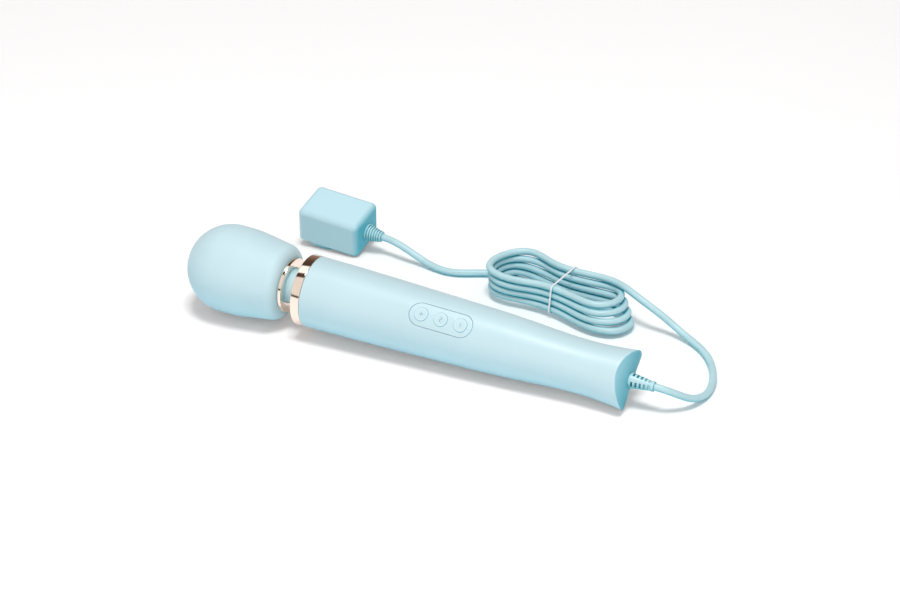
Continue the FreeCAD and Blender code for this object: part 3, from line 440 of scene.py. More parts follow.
def spline(knots, values):
    """The natural cubic spline through the values, as a function of place."""
    knots, values = np.array(knots, float), np.array(values, float)
    count, gaps = len(knots), np.diff(knots)
    system, right = np.eye(count), np.zeros_like(values)
    for i in range(1, count - 1):
        system[i, i - 1:i + 2] = gaps[i - 1], 2 * (gaps[i - 1] + gaps[i]), gaps[i]
        right[i] = 6 * ((values[i + 1] - values[i]) / gaps[i] - (values[i] - values[i - 1]) / gaps[i - 1])
    bends = np.linalg.solve(system, right)

    def at(place):
        i = min(max(int(np.searchsorted(knots, place)) - 1, 0), count - 2)
        a = (knots[i + 1] - place) / gaps[i]
        b = 1 - a
        curve = ((a ** 3 - a) * bends[i] + (b ** 3 - b) * bends[i + 1]) * gaps[i] ** 2 / 6
        return a * values[i] + b * values[i + 1] + curve
    return at


# ---------------------------------------------------------------- head and neck
DOME_STEPS = 40
TAPER_STEPS = 10
CORNER_STEPS = 16
HEAD_SIDES = 200
RING_SIDES = 240
SLEEVE_SIDES = 96
SLEEVE_STEPS = 14
LIP_R = 0.6
RING_EDGE_R = 0.45
PART_GAP = 0.05
RING_BORE_GAP = 0.3
RING_CHAMFER = 0.9
RING_REAR_GAP = 0.25
RING_PROUD = 0.1
SKIRT_GAP = 0.15
SKIRT_LENGTH = 4.2
SKIRT_WALL = 2.0
RING_FLOOR = 1.5


def arc(centre, radius, from_deg, to_deg, steps):
    """Points of an arc in the (x, radius) plane; 0 degrees points outward and 90 towards the head's tip."""
    points = []
    for step in range(steps + 1):
        angle = math.radians(from_deg + (to_deg - from_deg) * step / steps)
        points.append((centre[0] - radius * math.sin(angle), centre[1] + radius * math.cos(angle)))
    return points


def head_outline(offset):
    """Outside of the head from its tip to its flat rear, moved inwards by offset."""
    taper = math.radians(TAPER_DEG)
    taper_end = (TAPER_START + TAPER_R * math.sin(taper), HEAD_R - TAPER_R * (1 - math.cos(taper)))
    corner_x = HEAD_REAR - HEAD_CORNER_R
    tangent_x = corner_x + HEAD_CORNER_R * math.sin(taper)
    tangent_r = taper_end[1] - math.tan(taper) * (tangent_x - taper_end[0])
    corner = (corner_x, tangent_r - HEAD_CORNER_R * math.cos(taper))
    outline = arc((HEAD_R, 0), HEAD_R - offset, 90, 0, DOME_STEPS)
    outline += arc((TAPER_START, HEAD_R - TAPER_R), TAPER_R - offset, 0, -TAPER_DEG, TAPER_STEPS)
    outline += arc(corner, HEAD_CORNER_R - offset, -TAPER_DEG, -90, CORNER_STEPS)
    return outline


def head_cover():
    """One round hood over the whole head, open at its rear for the neck."""
    outer = head_outline(0)
    inner = head_outline(COVER_WALL)
    lip = soften([(HEAD_REAR, NECK_OPENING_R), (HEAD_REAR - COVER_WALL, NECK_OPENING_R)], LIP_R, 3)
    build("head_hood", lathe(outer + lip + inner[::-1], HEAD_SIDES, loop=False), WAND, "aqua_silicone",
          "head", ["head_cover"])


def head_ring():
    """Polished flat ring behind the head."""
    start, bore = HEAD_REAR + PART_GAP, NECK_BORE_R + RING_BORE_GAP
    section = [(start, bore), (start, COLLAR_R), (COLLAR_END, COLLAR_R), (COLLAR_END - RING_CHAMFER, bore)]
    build("head_ring", lathe(soften(section, RING_EDGE_R), RING_SIDES), WAND, "rose_gold", "head",
          ["head_collar"])


def handle_ring():
    """Polished ring at the front of the handle, with a skirt inside the tube."""
    outer, rear = FRONT_R + RING_PROUD, HANDLE_START - RING_REAR_GAP
    skirt, floor = FRONT_R - HANDLE_WALL - SKIRT_GAP, rear - RING_FLOOR
    section = [(FRONT_RING_START, NECK_BORE_R), (FRONT_RING_START, outer), (rear, outer), (rear, skirt),
               (rear + SKIRT_LENGTH, skirt), (rear + SKIRT_LENGTH, skirt - SKIRT_WALL),
               (floor, skirt - SKIRT_WALL), (floor, NECK_BORE_R)]
    build("handle_ring", lathe(soften(section, RING_EDGE_R), RING_SIDES), WAND, "rose_gold", "handle",
          ["handle_collar"])


def neck_sleeve():
    """Two tubes that meet at the neck's pivot."""
    bore = SPIGOT_R + PART_GAP * 2
    for name, start, end in (("neck_sleeve_head", SLEEVE_START, NECK_PIVOT),
                             ("neck_sleeve_handle", NECK_PIVOT, SLEEVE_END)):
        xs = [start + (end - start) * step / SLEEVE_STEPS for step in range(SLEEVE_STEPS + 1)]
        tube = Shape()
        rows = [tube.ring(circle(NECK_R, SLEEVE_SIDES, x)) for x in xs]
        rows += [tube.ring(circle(bore, SLEEVE_SIDES, x)) for x in reversed(xs)]
        tube.rows(rows, True, True)
        piece = build(name, tube, WAND, "aqua_silicone", None, ["neck_sleeve"])
        if name == "neck_sleeve_head":
            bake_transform(piece)
        else:
            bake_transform(piece)


# ---------------------------------------------------------------- inner pieces cut at the neck's pivot and round the buttons
SPRING_START = 82.4
SPRING_END = 88.2
DOME_HALF_SPAN = 6.0
# More than half the length of a wire, and of the spring.
WIRE_REACH = 100.0
SPRING_REACH = 10.0


def cad_stretch(cad_name, name, from_x, to_x, slot):
    """A copy of the stretch of a CAD node between two places along the wand, closed where it is cut."""
    source = frame["nodes"][cad_name]
    bm = bmesh.new()
    bm.from_mesh(source.data)
    bm.transform(source.matrix_world)
    bmesh.ops.remove_doubles(bm, verts=bm.verts, dist=WELD_MM * MM)
    along = WAND.to_3x3() @ Vector((1, 0, 0))
    for x, outward in ((from_x, -along), (to_x, along)):
        bmesh.ops.bisect_plane(bm, geom=bm.verts[:] + bm.edges[:] + bm.faces[:], plane_no=outward,
                               plane_co=WAND @ Vector((x * MM, 0, 0)), clear_outer=True)
        bmesh.ops.holes_fill(bm, edges=[edge for edge in bm.edges if edge.is_boundary])
    piece = shown(name, bm, slot)
    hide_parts(cad_name)
    return piece


def neck_inside():
    """The spring and the wires, each in two pieces that meet at the pivot."""
    for cad_name, name, slot, head_end, handle_end, reach in (
            ("neck_spring", "neck_coil", "steel", SPRING_START, SPRING_END, SPRING_REACH),
            ("motor_leads", "motor_wires", "lead_wire", HEAD_REAR, SLEEVE_END, WIRE_REACH)):
        towards_head = cad_stretch(cad_name, name + "_head", NECK_PIVOT - reach, NECK_PIVOT, slot)
        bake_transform(towards_head)
        towards_handle = cad_stretch(cad_name, name + "_handle", NECK_PIVOT, NECK_PIVOT + reach, slot)
        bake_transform(towards_handle)


def snap_domes():
    """Each dome as a piece of its own, cut from the CAD domes round its button and riding on the handle."""
    for button, x in BUTTON_PLACES.items():
        dome = cad_stretch("switch_domes", "dome_" + button, x - DOME_HALF_SPAN, x + DOME_HALF_SPAN, "steel")
        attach(dome, "handle")
        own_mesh(dome)


# ---------------------------------------------------------------- handle
HANDLE_STATIONS = (
    (HANDLE_START, FRONT_R, FRONT_R),
    (150.0, 24.25, 24.25),
    (200.0, 22.85, 22.85),
    (255.0, 20.8, 20.8),
    (309.0, 18.65, 18.2),
    (WAND_LENGTH + 1.0, TAIL_HALF_WIDTH + 0.1, TAIL_HALF_DEPTH),
)
HANDLE_SIZE = spline([s[0] for s in HANDLE_STATIONS], [s[1:] for s in HANDLE_STATIONS])
HANDLE_SIDES = 192
RIM_FACING = 0.5
RIM_EDGE_R = 0.3
SETTLING_ROUNDS = 8
WIDEST_SHARE = 0.999
# Half the size of the patch left out of the tube's grid round the panel, in sides and in mm.
PATCH_HALF_SIDES = 16
PATCH_HALF_LENGTH = 28.0
PATCH_RINGS = (0.25, 0.5, 0.7, 0.85, 0.94, 1.0)
HANDLE_ROWS = 150


def on_handle(x, angle, inset):
    """Point of the handle's skin, moved inwards by inset, at x and an angle about the wand's axis."""
    width, depth = HANDLE_SIZE(x)
    return Vector((x, (width - inset) * math.cos(angle), (depth - inset) * math.sin(angle)))


def barrel_x(z):
    """The tail's rounded end: a barrel face with its axis across the wand."""
    return WAND_LENGTH - TAIL_END_R + math.sqrt(TAIL_END_R ** 2 - z ** 2)


def tail_x(angle, inset):
    """Where the line along the handle at this angle meets the tail's rounded end."""
    x = WAND_LENGTH
    for _ in range(SETTLING_ROUNDS):
        x = barrel_x(on_handle(x, angle, inset).z)
    return x


def surface_height(x, y, inset):
    """Outward height of the handle's surface above the point (x, y)."""
    width, depth = HANDLE_SIZE(x)
    across = min(abs(y) / (width - inset), WIDEST_SHARE)
    return (depth - inset) * math.sqrt(1 - across ** 2)


def stadium_target(x, y, length, width):
    """The nearest point of a stadium's edge, in the panel's own (x, y)."""
    half = (length - width) / 2
    spine = min(max(x - PANEL_CENTRE, -half), half)
    away = Vector((x - PANEL_CENTRE - spine, y))
    return Vector((PANEL_CENTRE + spine, 0)) + away.normalized() * width / 2


def handle_layer(shape, inset):
    """One skin of the handle with the panel's opening; returns its front, tail and opening rows."""
    rows = []
    for step in range(HANDLE_ROWS + 1):
        share = step / HANDLE_ROWS
        row = []
        for side in range(HANDLE_SIDES):
            angle = math.tau * side / HANDLE_SIDES
            x = HANDLE_START + (tail_x(angle, inset) - HANDLE_START) * share
            row.append(on_handle(x, angle, inset))
        rows.append(shape.ring(row))
    top = HANDLE_SIDES // 4
    first_side, last_side = top - PATCH_HALF_SIDES, top + PATCH_HALF_SIDES
    along_top = [shape.points[row[top]].x for row in rows]
    first_row = next(i for i, x in enumerate(along_top) if x > PANEL_CENTRE - PATCH_HALF_LENGTH)
    last_row = next(i for i, x in enumerate(along_top) if x > PANEL_CENTRE + PATCH_HALF_LENGTH)
    for index in range(HANDLE_ROWS):
        here, beyond = rows[index], rows[index + 1]
        for side in range(HANDLE_SIDES):
            if first_row <= index < last_row and first_side <= side < last_side:
                continue
            after = (side + 1) % HANDLE_SIDES
            shape.faces.append((here[side], here[after], beyond[after], beyond[side]))
    border = [rows[first_row][side] for side in range(first_side, last_side)]
    border += [rows[index][last_side] for index in range(first_row, last_row)]
    border += [rows[last_row][side] for side in range(last_side, first_side, -1)]
    border += [rows[index][first_side] for index in range(last_row, first_row, -1)]
    loops = [border]
    for share in PATCH_RINGS:
        ring = []
        for corner in border:
            x, y = shape.points[corner].x, shape.points[corner].y
            edge = stadium_target(x, y, PANEL_LENGTH + 2 * PANEL_GAP, PANEL_WIDTH + 2 * PANEL_GAP)
            spot = Vector((x, y)) * (1 - share) + edge * share
            ring.append((spot.x, spot.y, surface_height(spot.x, spot.y, inset)))
        loops.append(shape.ring(ring))
    shape.rows(loops)
    return rows[0], rows[-1], loops[-1]


def handle_tube():
    """The seamless tube; its end, which faces away from the light, takes the darker case material as painted
    shade.
    """
    shape = Shape()
    outer = handle_layer(shape, 0.0)
    inner = handle_layer(shape, HANDLE_WALL)
    for outside, inside in zip(outer, inner):
        shape.bridge(outside, inside)
    shell = build("handle_shell", shape, WAND, "aqua_satin_plastic", "handle", ["handle_tube"],
                  bevel_mm=RIM_EDGE_R)
    # Painted shade: faces that point along the wand towards the tail get the darker case material.
    shell.data.materials.append(MATERIALS["case_plastic"])
    along = WAND.to_3x3() @ Vector((1, 0, 0))
    for face in shell.data.polygons:
        if face.normal.dot(along) > RIM_FACING:
            face.material_index = 1


def wrap_on_handle(proud):
    """Turns a flat sheet, drawn at height 0, into one that follows the handle's surface."""
    def wrap(point):
        return Vector((point.x, point.y, surface_height(point.x, point.y, -proud) + point.z))
    return wrap


PANEL_THICKNESS = 2.2
PANEL_EDGE_R = 0.22
PANEL_RINGS = (0.0, 0.08, 0.3, 0.6, 0.85, 1.0)
PANEL_ANGLES = 64
HALVINGS = 40


def panel_reach(middle, angle, inset):
    """How far the panel's cell reaches from a button's centre in one direction."""
    near, far = BUTTON_R, PANEL_LENGTH
    half = (PANEL_LENGTH - PANEL_WIDTH) / 2
    for _ in range(HALVINGS):
        reach = (near + far) / 2
        x, y = middle + reach * math.cos(angle), reach * math.sin(angle)
        spine = min(max(x, -half), half)
        inside = math.hypot(x - spine, y) < PANEL_WIDTH / 2 - inset
        if middle >= 0 and x < middle - BUTTON_PITCH / 2:
            inside = False
        if middle <= 0 and x > middle + BUTTON_PITCH / 2:
            inside = False
        near, far = (reach, far) if inside else (near, reach)
    return near


def button_panel():
    """Flush bezel with three round holes, cut into one cell round each button."""
    shape = Shape()
    corner = math.atan2(PANEL_WIDTH / 2, BUTTON_PITCH / 2)
    angles = {math.tau * step / PANEL_ANGLES for step in range(PANEL_ANGLES)}
    angles |= {corner, math.pi - corner, math.pi + corner, math.tau - corner}
    angles = sorted(angles)
    hole_r = BUTTON_R + BUTTON_GAP
    for middle in (-BUTTON_PITCH, 0.0, BUTTON_PITCH):
        reaches = [panel_reach(middle, angle, 0.0) for angle in angles]
        layers = []
        for height in (0.0, -PANEL_THICKNESS):
            loops = []
            for share in PANEL_RINGS:
                ring = []
                for angle, reach in zip(angles, reaches):
                    r = hole_r + (reach - hole_r) * share
                    ring.append((PANEL_CENTRE + middle + r * math.cos(angle), r * math.sin(angle), height))
                loops.append(shape.ring(ring))
            shape.rows(loops)
            layers.append(loops)
        shape.bridge(layers[0][0], layers[1][0])
        top, bottom = layers[0][-1], layers[1][-1]
        for index in range(len(angles)):
            after = (index + 1) % len(angles)
            ends = [shape.points[top[i]] for i in (index, after)]
            between_cells = all(abs(abs(p.x - PANEL_CENTRE) - BUTTON_PITCH / 2) < WELD_MM * 10 for p in ends)
            if not between_cells:
                shape.faces.append((top[index], top[after], bottom[after], bottom[index]))
    build("button_bezel", shape, WAND, "aqua_satin_plastic", "handle", ["button_panel"],
          bevel_mm=PANEL_EDGE_R, bevel_deg=60.0, wrap=wrap_on_handle(0.0))


CAP_RINGS = (0.12, 0.3, 0.5, 0.7, 0.85, 0.94, 1.0)
CAP_SIDES = 72
CAP_DISH = 0.18
CAP_EDGE_R = 0.32
CAP_FLANGE = 0.8
CAP_FLANGE_TOP = -3.5
CAP_FLANGE_CORNER = -3.4
CAP_BOTTOM = -4.2


def button_cap(button, x):
    """Round cap with a soft rim, a faint dish and a hidden flange, following the handle's curve."""
    shape = Shape()
    rows = []
    for share in CAP_RINGS:
        height = -CAP_DISH * (1 - share ** 2) ** 2
        rows.append(shape.ring(circle(BUTTON_R * share, CAP_SIDES, x, 0, height, "Z")))
    shape.cap(rows[0], (x, 0, -CAP_DISH))
    for radius, height in ((BUTTON_R, CAP_FLANGE_CORNER), (BUTTON_R + CAP_FLANGE, CAP_FLANGE_TOP),
                           (BUTTON_R + CAP_FLANGE, CAP_BOTTOM)):
        rows.append(shape.ring(circle(radius, CAP_SIDES, x, 0, height, "Z")))
    shape.rows(rows)
    shape.cap(rows[-1], (x, 0, CAP_BOTTOM))
    build("cap_" + button, shape, WAND, "aqua_satin_plastic", "button_" + button, ["button_" + button],
          bevel_mm=CAP_EDGE_R, wrap=wrap_on_handle(BUTTON_PROUD))


MARK_LENGTH = 2.6
MARK_WIDTH = 0.42
MARK_TOP = -0.12
MARK_DEPTH = 0.12
WAVE_SWING = 0.75
WAVE_TURNS = 0.75
WAVE_LENGTH = 4.42
WAVE_STEPS = 32


def ribbon(points):
    """Flat printed line of even width along points in the panel's (x, y)."""
    shape = Shape()
    left, right = [], []
    for index, point in enumerate(points):
        before, after = points[max(index - 1, 0)], points[min(index + 1, len(points) - 1)]
        along = (after - before).normalized()
        side = Vector((-along.y, along.x)) * MARK_WIDTH / 2
        left.append(point + side)
        right.append(point - side)
    bottom = MARK_TOP - MARK_DEPTH
    corners = [shape.ring([(spot.x, spot.y, height) for spot in row])
               for row, height in ((left, MARK_TOP), (right, MARK_TOP), (right, bottom), (left, bottom))]
    shape.rows(corners, False, True)
    for end in (0, -1):
        shape.faces.append(tuple(row[end] for row in corners))
    return shape


def stroke(x, direction, steps=6):
    """Points of a short straight line through the middle of a button."""
    reach = Vector(direction) * MARK_LENGTH / 2
    return [Vector((x, 0)) + reach * (2 * step / steps - 1) for step in range(steps + 1)]


def wave(x):
    """Points of a wave across the middle of a button."""
    points = []
    for step in range(WAVE_STEPS + 1):
        share = step / WAVE_STEPS * 2 - 1
        swing = WAVE_SWING * math.sin(share * math.tau * WAVE_TURNS)
        points.append(Vector((x + swing, share * WAVE_LENGTH / 2)))
    return points


def marks():
    """Generic plus, wave and minus signs, printed on the three caps."""
    drawings = (
        ("mark_plus_across", stroke(BUTTON_PLACES["plus"], (0, 1)), "button_plus"),
        ("mark_plus_along", stroke(BUTTON_PLACES["plus"], (1, 0)), "button_plus"),
        ("mark_wave", wave(BUTTON_PLACES["mode"]), "button_mode"),
        ("mark_minus", stroke(BUTTON_PLACES["minus"], (0, 1)), "button_minus"),
    )
    for name, points, body in drawings:
        build(name, ribbon(points), WAND, "printed_mark", body, wrap=wrap_on_handle(BUTTON_PROUD))


FACE_RINGS = (0.0, 0.08, 0.2, 0.35, 0.5, 0.65, 0.8, 0.92, 1.0)
FACE_SIDES = 144
FACE_SINK = 0.1
FACE_DEPTH = 4.0
FACE_GAP = 0.06
FACE_EDGE_R = 0.12
BOOT_HOLE_GAP = 0.1


def tail_cap():
    """End face, level with the tube's rim, with the hole for the boot."""
    shape = Shape()
    inset, hole_r = HANDLE_WALL + FACE_GAP, BOOT_BASE_R + BOOT_HOLE_GAP
    layers = []
    for depth in (FACE_SINK, FACE_DEPTH):
        rows = []
        for share in FACE_RINGS:
            row = []
            for side in range(FACE_SIDES):
                angle = math.tau * side / FACE_SIDES
                edge = on_handle(tail_x(angle, inset), angle, inset)
                y = hole_r * math.cos(angle) * (1 - share) + edge.y * share
                z = hole_r * math.sin(angle) * (1 - share) + edge.z * share
                row.append((barrel_x(z) - depth, y, z))
            rows.append(shape.ring(row))
        shape.rows(rows)
        layers.append(rows)
    shape.bridge(layers[0][0], layers[1][0])
    shape.bridge(layers[0][-1], layers[1][-1])
    # The end face is drawn in the darker case material as painted shade, as it faces away from the light.
    build("tail_face", shape, WAND, "case_plastic", "handle", ["tail_cap"], bevel_mm=FACE_EDGE_R)


# ---------------------------------------------------------------- cord
BOOT_TIP = WAND_LENGTH + BOOT_LENGTH
ADAPTER_BOOT_LENGTH = 12.0
ADAPTER_BOOT_Z = -2.0
COIL_TURNS = 4
COIL_START_ANGLE = 39.0
COIL_EXTRA_ANGLE = 106.0
COIL_HALF_LENGTH = 56.0
COIL_BLUNTNESS = 0.1
COIL_WAIST = 1.75
COIL_MIDDLE = Vector((208.8, 97.2, 0))
COIL_DIRECTION = -11.0
COIL_HEIGHT = 22.0
COIL_STEPS_PER_TURN = 12
# At the left and right ends: half width of the floor turn, and what the top turn adds to it,
# then how far the top turn is shifted along and across the bundle.
COIL_LEFT_END = (11.6, 4.4, 1.0, 1.0)
COIL_RIGHT_END = (12.3, -2.3, -14.8, 6.4)
CORD_REST = CORD_R + 0.05
CORD_FULLNESS = 0.1
CORD_SPACING = 1.5
CORD_SIDES = 20
CORD_IN_ADAPTER = 3.5
BOOT_CLEARANCE = 1.5
COIL_SWEEP = 360.0 * COIL_TURNS + COIL_EXTRA_ANGLE
COIL = LAYOUT @ Matrix.Translation(COIL_MIDDLE * MM) @ Matrix.Rotation(math.radians(COIL_DIRECTION), 4, "Z")


def coil_point(angle_deg):
    """Centre of the wound cord in the bundle's own frame, from the top turn down to the floor."""
    angle = math.radians(angle_deg)
    level = 1 - (angle_deg - COIL_START_ANGLE) / COIL_SWEEP
    right = (1 + math.cos(angle)) / 2
    width, widening, slide, lean = (
        right * at_right + (1 - right) * at_left for at_left, at_right in zip(COIL_LEFT_END, COIL_RIGHT_END)
    )
    along = COIL_HALF_LENGTH * math.cos(angle) * (1 + COIL_BLUNTNESS * math.sin(angle) ** 2) + slide * level
    across = (width + widening * level) * math.sin(angle) * (1 + COIL_WAIST * math.cos(angle) ** 2)
    return Vector((along, across + lean * level, CORD_REST + COIL_HEIGHT * level))


def cord_points():
    """Points of the cord's middle in the row frame, in metres, from inside the tail to inside the adapter."""
    straight = (283.0, 290.0, 300.0, 310.0, 320.0, 328.0, 336.0, 344.0, 348.0, BOOT_TIP,
                BOOT_TIP + BOOT_CLEARANCE)
    wand_end = [WAND @ Vector((x * MM, 0, 0)) for x in straight]
    on_floor = CORD_REST + 0.05
    wand_lead = [
        (327.8, 1.9, 16.9), (332.6, 5.6, 13.7), (337.2, 10.2, 10.0), (340.7, 15.9, 6.5), (343.3, 23.1, 3.9),
        (344.8, 31.2, on_floor), (343.9, 43.0, on_floor), (339.4, 57.6, on_floor), (331.0, 73.0, on_floor),
        (319.0, 86.0, on_floor), (304.0, 94.5, 4.6), (286.0, 98.4, 13.0), (267.2, 100.5, 21.6),
    ]
    count = COIL_TURNS * COIL_STEPS_PER_TURN
    angles = [COIL_START_ANGLE + COIL_SWEEP * step / count for step in range(count + 1)]
    bundle = [COIL @ (coil_point(angle) * MM) for angle in angles]
    adapter_lead = [
        (142.0, 119.0, CORD_REST), (118.0, 109.0, CORD_REST), (95.0, 111.8, 4.4), (73.0, 114.3, 12.0),
    ]
    tip = ADAPTER_BOOT_LENGTH
    adapter_end = [ADAPTER @ Vector(((ADAPTER_LENGTH / 2 + x) * MM, 0, ADAPTER_BOOT_Z * MM))
                   for x in (tip + BOOT_CLEARANCE, tip, 8.0, 4.0, 0.0, -CORD_IN_ADAPTER)]
    leads = [[LAYOUT @ (Vector(point) * MM) for point in lead] for lead in (wand_lead, adapter_lead)]
    return wand_end + leads[0] + bundle + leads[1] + adapter_end


def cord():
    """Round cord swept along a smooth path through the points."""
    points = cord_points()
    knots = [0.0]
    for before, after in zip(points, points[1:]):
        knots.append(knots[-1] + (after - before).length)
    path = spline(knots, [tuple(point) for point in points])
    count = int(knots[-1] / (CORD_SPACING * MM))
    centres = [Vector(path(knots[-1] * step / count)) for step in range(count + 1)]
    shape = Shape()
    rows = []
    upward = Vector((0, 0, 1))
    for index, centre in enumerate(centres):
        along = (centres[min(index + 1, count)] - centres[max(index - 1, 0)]).normalized()
        sideways = along.cross(upward).normalized()
        upward = sideways.cross(along).normalized()
        row = []
        for side in range(CORD_SIDES):
            angle = math.tau * side / CORD_SIDES
            outward = sideways * math.cos(angle) + upward * math.sin(angle)
            row.append(centre / MM + outward * (CORD_R + CORD_FULLNESS))
        rows.append(shape.ring(row))
    shape.rows(rows)
    shape.cap(rows[0], centres[0] / MM)
    shape.cap(rows[-1], centres[-1] / MM)
    build("mains_cord", shape, Matrix.Identity(4), "aqua_cord", "handle", ["cord"])


TIE_HALF_WIDTH = 0.7
TIE_HALF_THICKNESS = 0.42
TIE_STANDOFF = 0.45
TIE_SIDES = 12
TIE_CORNER_STEPS = 8


def waist_crossing(near_angle):
    """Where the wound cord crosses the middle of the bundle's length, close to the given angle."""
    low, high = near_angle - 45.0, near_angle + 45.0
    falling = coil_point(low).x > 0
    for _ in range(HALVINGS):
        middle = (low + high) / 2
        if (coil_point(middle).x > 0) == falling:
            low = middle
        else:
            high = middle
    return coil_point(low)


def tie():
    """Thin soft band that hugs the waist of the bundle."""
    last_turn = 360.0 * (COIL_TURNS - 1)
    corners = [waist_crossing(angle).yz for angle in (90.0, 270.0, last_turn + 270.0, last_turn + 450.0)]
    middle = sum(corners, Vector((0, 0))) / len(corners)
    corners.sort(key=lambda c: math.atan2(c.y - middle.y, c.x - middle.x))
    reach = CORD_R + TIE_STANDOFF
    path = []
    for before, corner, after in zip(corners[-1:] + corners[:-1], corners, corners[1:] + corners[:1]):
        start = math.atan2(-(corner - before).x, (corner - before).y)
        turn = (corner - before).angle_signed(after - corner)
        for step in range(TIE_CORNER_STEPS + 1):
            angle = start - turn * step / TIE_CORNER_STEPS
            path.append(corner + Vector((math.cos(angle), math.sin(angle))) * reach)
    shape = Shape()
    angles = [math.tau * side / TIE_SIDES for side in range(TIE_SIDES)]
    section = [(TIE_HALF_WIDTH * math.cos(angle), TIE_HALF_THICKNESS * math.sin(angle)) for angle in angles]
    rows = []
    for index, spot in enumerate(path):
        along = path[(index + 1) % len(path)] - path[index - 1]
        outward = Vector((along.y, -along.x)).normalized()
        rows.append(shape.ring([(a, spot.x + outward.x * b, spot.y + outward.y * b) for a, b in section]))
    shape.rows(rows, True, True)
    build("bundle_tie", shape, COIL, "white_tie", "handle", ["cord_tie"])


# ---------------------------------------------------------------- floor, light and camera
FLOOR_HALF = 6.0
FLOOR_COLOUR = (0.995, 0.985, 0.985, 1.0)
FLOOR_GLOW = 0.06
FLOOR_GAP = 0.4
BLADE_REACH = Vector((-15.8, 0, -12.8))
BLADE_TIP_R = 3.4


def studio_floor():
    """Plain pale floor, which drops when a moved part would reach below it."""
    mesh = bpy.data.meshes.new("floor")
    corners = [(x * FLOOR_HALF, y * FLOOR_HALF, 0) for x, y in ((-1, -1), (1, -1), (1, 1), (-1, 1))]
    mesh.from_pydata(corners, [], [(0, 1, 2, 3)])
    floor = bpy.data.objects.new("floor", mesh)
    mesh.materials.append(finish("pale_floor", FLOOR_COLOUR, 0.6, 1.5, 0.01, 0.004, 300.0, edge_light=0.0,
                                 Emission_Color=WHITE, Emission_Strength=FLOOR_GLOW))
    bpy.context.scene.collection.objects.link(floor)
    probes = (
        ("head", WAND @ Vector((HEAD_R * MM, 0, 0)), HEAD_R),
        ("head", WAND @ Vector((TAPER_START * MM, 0, 0)), HEAD_R),
        ("plug_blades", ADAPTER @ ((Vector((BLADE_HUB_X, 0, 0)) + BLADE_REACH) * MM), BLADE_TIP_R),
    )
    driver = floor.driver_add("location", 2).driver
    driver.type = "SCRIPTED"
    terms = ["0"]
    for index, (body, centre, radius) in enumerate(probes):
        probe = bpy.data.objects.new(f"floor_probe_{index}", None)
        bpy.context.scene.collection.objects.link(probe)
        probe.location = centre
        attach(probe, body)
        variable = driver.variables.new()
        variable.name = f"height{index}"
        variable.type = "TRANSFORMS"
        variable.targets[0].id = probe
        variable.targets[0].transform_type = "LOC_Z"
        variable.targets[0].transform_space = "WORLD_SPACE"
        terms.append(f"height{index} - {(radius + FLOOR_GAP) * MM}")
    driver.expression = f"min({', '.join(terms)})"


WORLD_AT_HEAD = 0.42
WORLD_AT_TAIL = 0.47
MIRROR_STRENGTH = 0.85
# What polished metal mirrors, from the front horizon (0) over the top to the rear horizon (1).
MIRROR_STOPS = (
    (0.028, (0.05, 0.035, 0.03, 1)),
    (0.040, (1, 0.97, 0.93, 1)),
    (0.355, (1, 0.97, 0.93, 1)),
    (0.368, (0.08, 0.05, 0.035, 1)),
    (0.440, (0.08, 0.05, 0.035, 1)),
    (0.452, (1.5, 1.5, 1.5, 1)),
    (0.592, (1.5, 1.5, 1.5, 1)),
    (0.606, (0.07, 0.04, 0.03, 1)),
    (0.75, (0.12, 0.075, 0.05, 1)),
    (1.0, (0.42, 0.31, 0.24, 1)),
)
SOFTBOX_PLACE = (0.15, -0.42, 2.55)
SOFTBOX_SIZE = (0.8, 0.7)
SOFTBOX_WATTS = 39.0
FILL_PLACE = (0.5, -1.9, 0.9)
FILL_SIZE = (1.2, 0.8)
FILL_WATTS = 8.0


def area_light(name, place, size, watts):
    """Rectangular lamp aimed at the middle of the row."""
    light = bpy.data.lights.new(name, "AREA")
    light.shape = "RECTANGLE"
    light.size, light.size_y = size
    light.energy = watts
    lamp = bpy.data.objects.new(name, light)
    bpy.context.scene.collection.objects.link(lamp)
    lamp.location = place
    lamp.rotation_euler = (-Vector(place)).to_track_quat("-Z", "Y").to_euler()
    return lamp


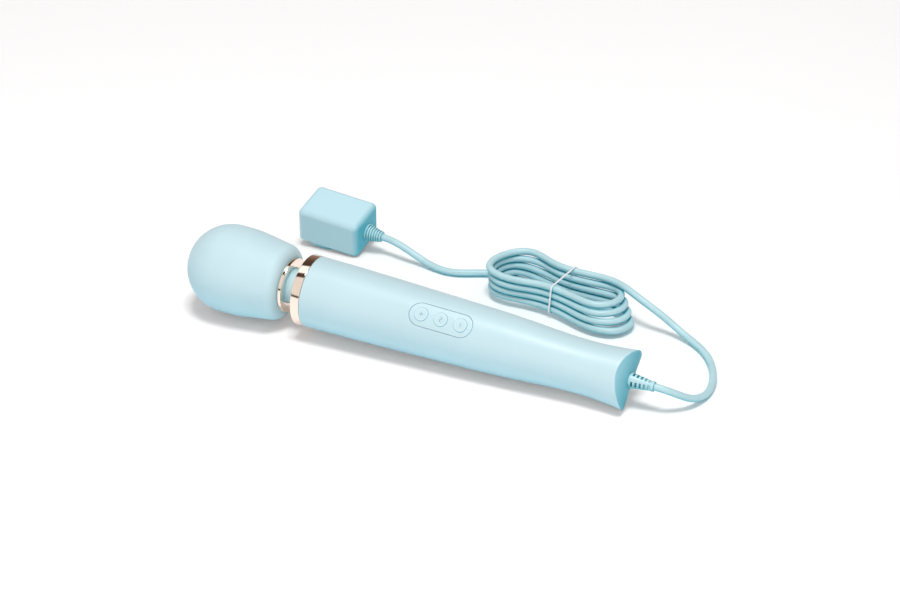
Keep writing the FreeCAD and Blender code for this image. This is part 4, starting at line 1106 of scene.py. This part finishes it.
def studio_light():
    """Soft white surround, a little stronger towards the tail, a high softbox and a weak front fill."""
    world = bpy.data.worlds.new("studio")
    bpy.context.scene.world = world
    world.use_nodes = True
    tree = world.node_tree
    background = tree.nodes["Background"]
    direction = node(tree, "TexCoord").outputs["Generated"]
    parts = node(tree, "SeparateXYZ", None, {"Vector": direction}).outputs
    front = node(tree, "Math", {"operation": "MULTIPLY"}, {0: parts["Y"], 1: -1.0}).outputs[0]
    sweep = node(tree, "Math", {"operation": "ARCTAN2"}, {0: parts["Z"], 1: front}).outputs[0]
    over = scaled(tree, sweep, 0.0, 1.0, (0.0, math.pi))
    ramp = node(tree, "ValToRGB", None, {"Fac": over})
    elements = ramp.color_ramp.elements
    while len(elements) < len(MIRROR_STOPS):
        elements.new(0.5)
    for element, (place, colour) in zip(elements, MIRROR_STOPS):
        element.position = place
        element.color = colour
    mirror = node(tree, "LightPath").outputs["Is Glossy Ray"]
    lengthwise = scaled(tree, parts["X"], WORLD_AT_HEAD, WORLD_AT_TAIL, (-1.0, 1.0))
    even = node(tree, "CombineXYZ", None, {"X": lengthwise, "Y": lengthwise, "Z": lengthwise}).outputs[0]
    reflected = node(tree, "VectorMath", {"operation": "SCALE"},
                     {0: ramp.outputs["Color"], "Scale": MIRROR_STRENGTH}).outputs[0]
    mixed = node(tree, "MixRGB", None, {"Fac": mirror, "Color1": even, "Color2": reflected})
    tree.links.new(mixed.outputs["Color"], background.inputs["Color"])
    area_light("softbox", SOFTBOX_PLACE, SOFTBOX_SIZE, SOFTBOX_WATTS)
    fill = area_light("fill", FILL_PLACE, FILL_SIZE, FILL_WATTS)
    fill.visible_glossy = False


CAMERA_TARGET = (-0.0097, -0.00847, 0.0203)
CAMERA_AZIMUTH = 25.775
CAMERA_ELEVATION = 29.545
CAMERA_DISTANCE = 2.083
CAMERA_LENS = 120.0
SENSOR_WIDTH = 36.0


def camera():
    """The photo's viewpoint: a long lens in front of the row and above it, aimed near its middle."""
    azimuth, elevation = math.radians(CAMERA_AZIMUTH), math.radians(CAMERA_ELEVATION)
    back = Vector((math.sin(azimuth) * math.cos(elevation), -math.cos(azimuth) * math.cos(elevation),
                   math.sin(elevation)))
    data = bpy.data.cameras.new("camera")
    data.lens = CAMERA_LENS
    data.sensor_width = SENSOR_WIDTH
    eye = bpy.data.objects.new("camera", data)
    bpy.context.scene.collection.objects.link(eye)
    eye.location = Vector(CAMERA_TARGET) + back * CAMERA_DISTANCE
    eye.rotation_euler = (-back).to_track_quat("-Z", "Y").to_euler()
    bpy.context.scene.camera = eye


# ---------------------------------------------------------------- the whole scene
dress_cad_nodes()
head_cover()
head_ring()
handle_ring()
neck_sleeve()
neck_inside()
snap_domes()
handle_tube()
button_panel()
for button_name, button_x in BUTTON_PLACES.items():
    button_cap(button_name, button_x)
marks()
tail_cap()
cord()
tie()
studio_floor()
studio_light()
camera()
bpy.context.scene.view_settings.view_transform = "Standard"
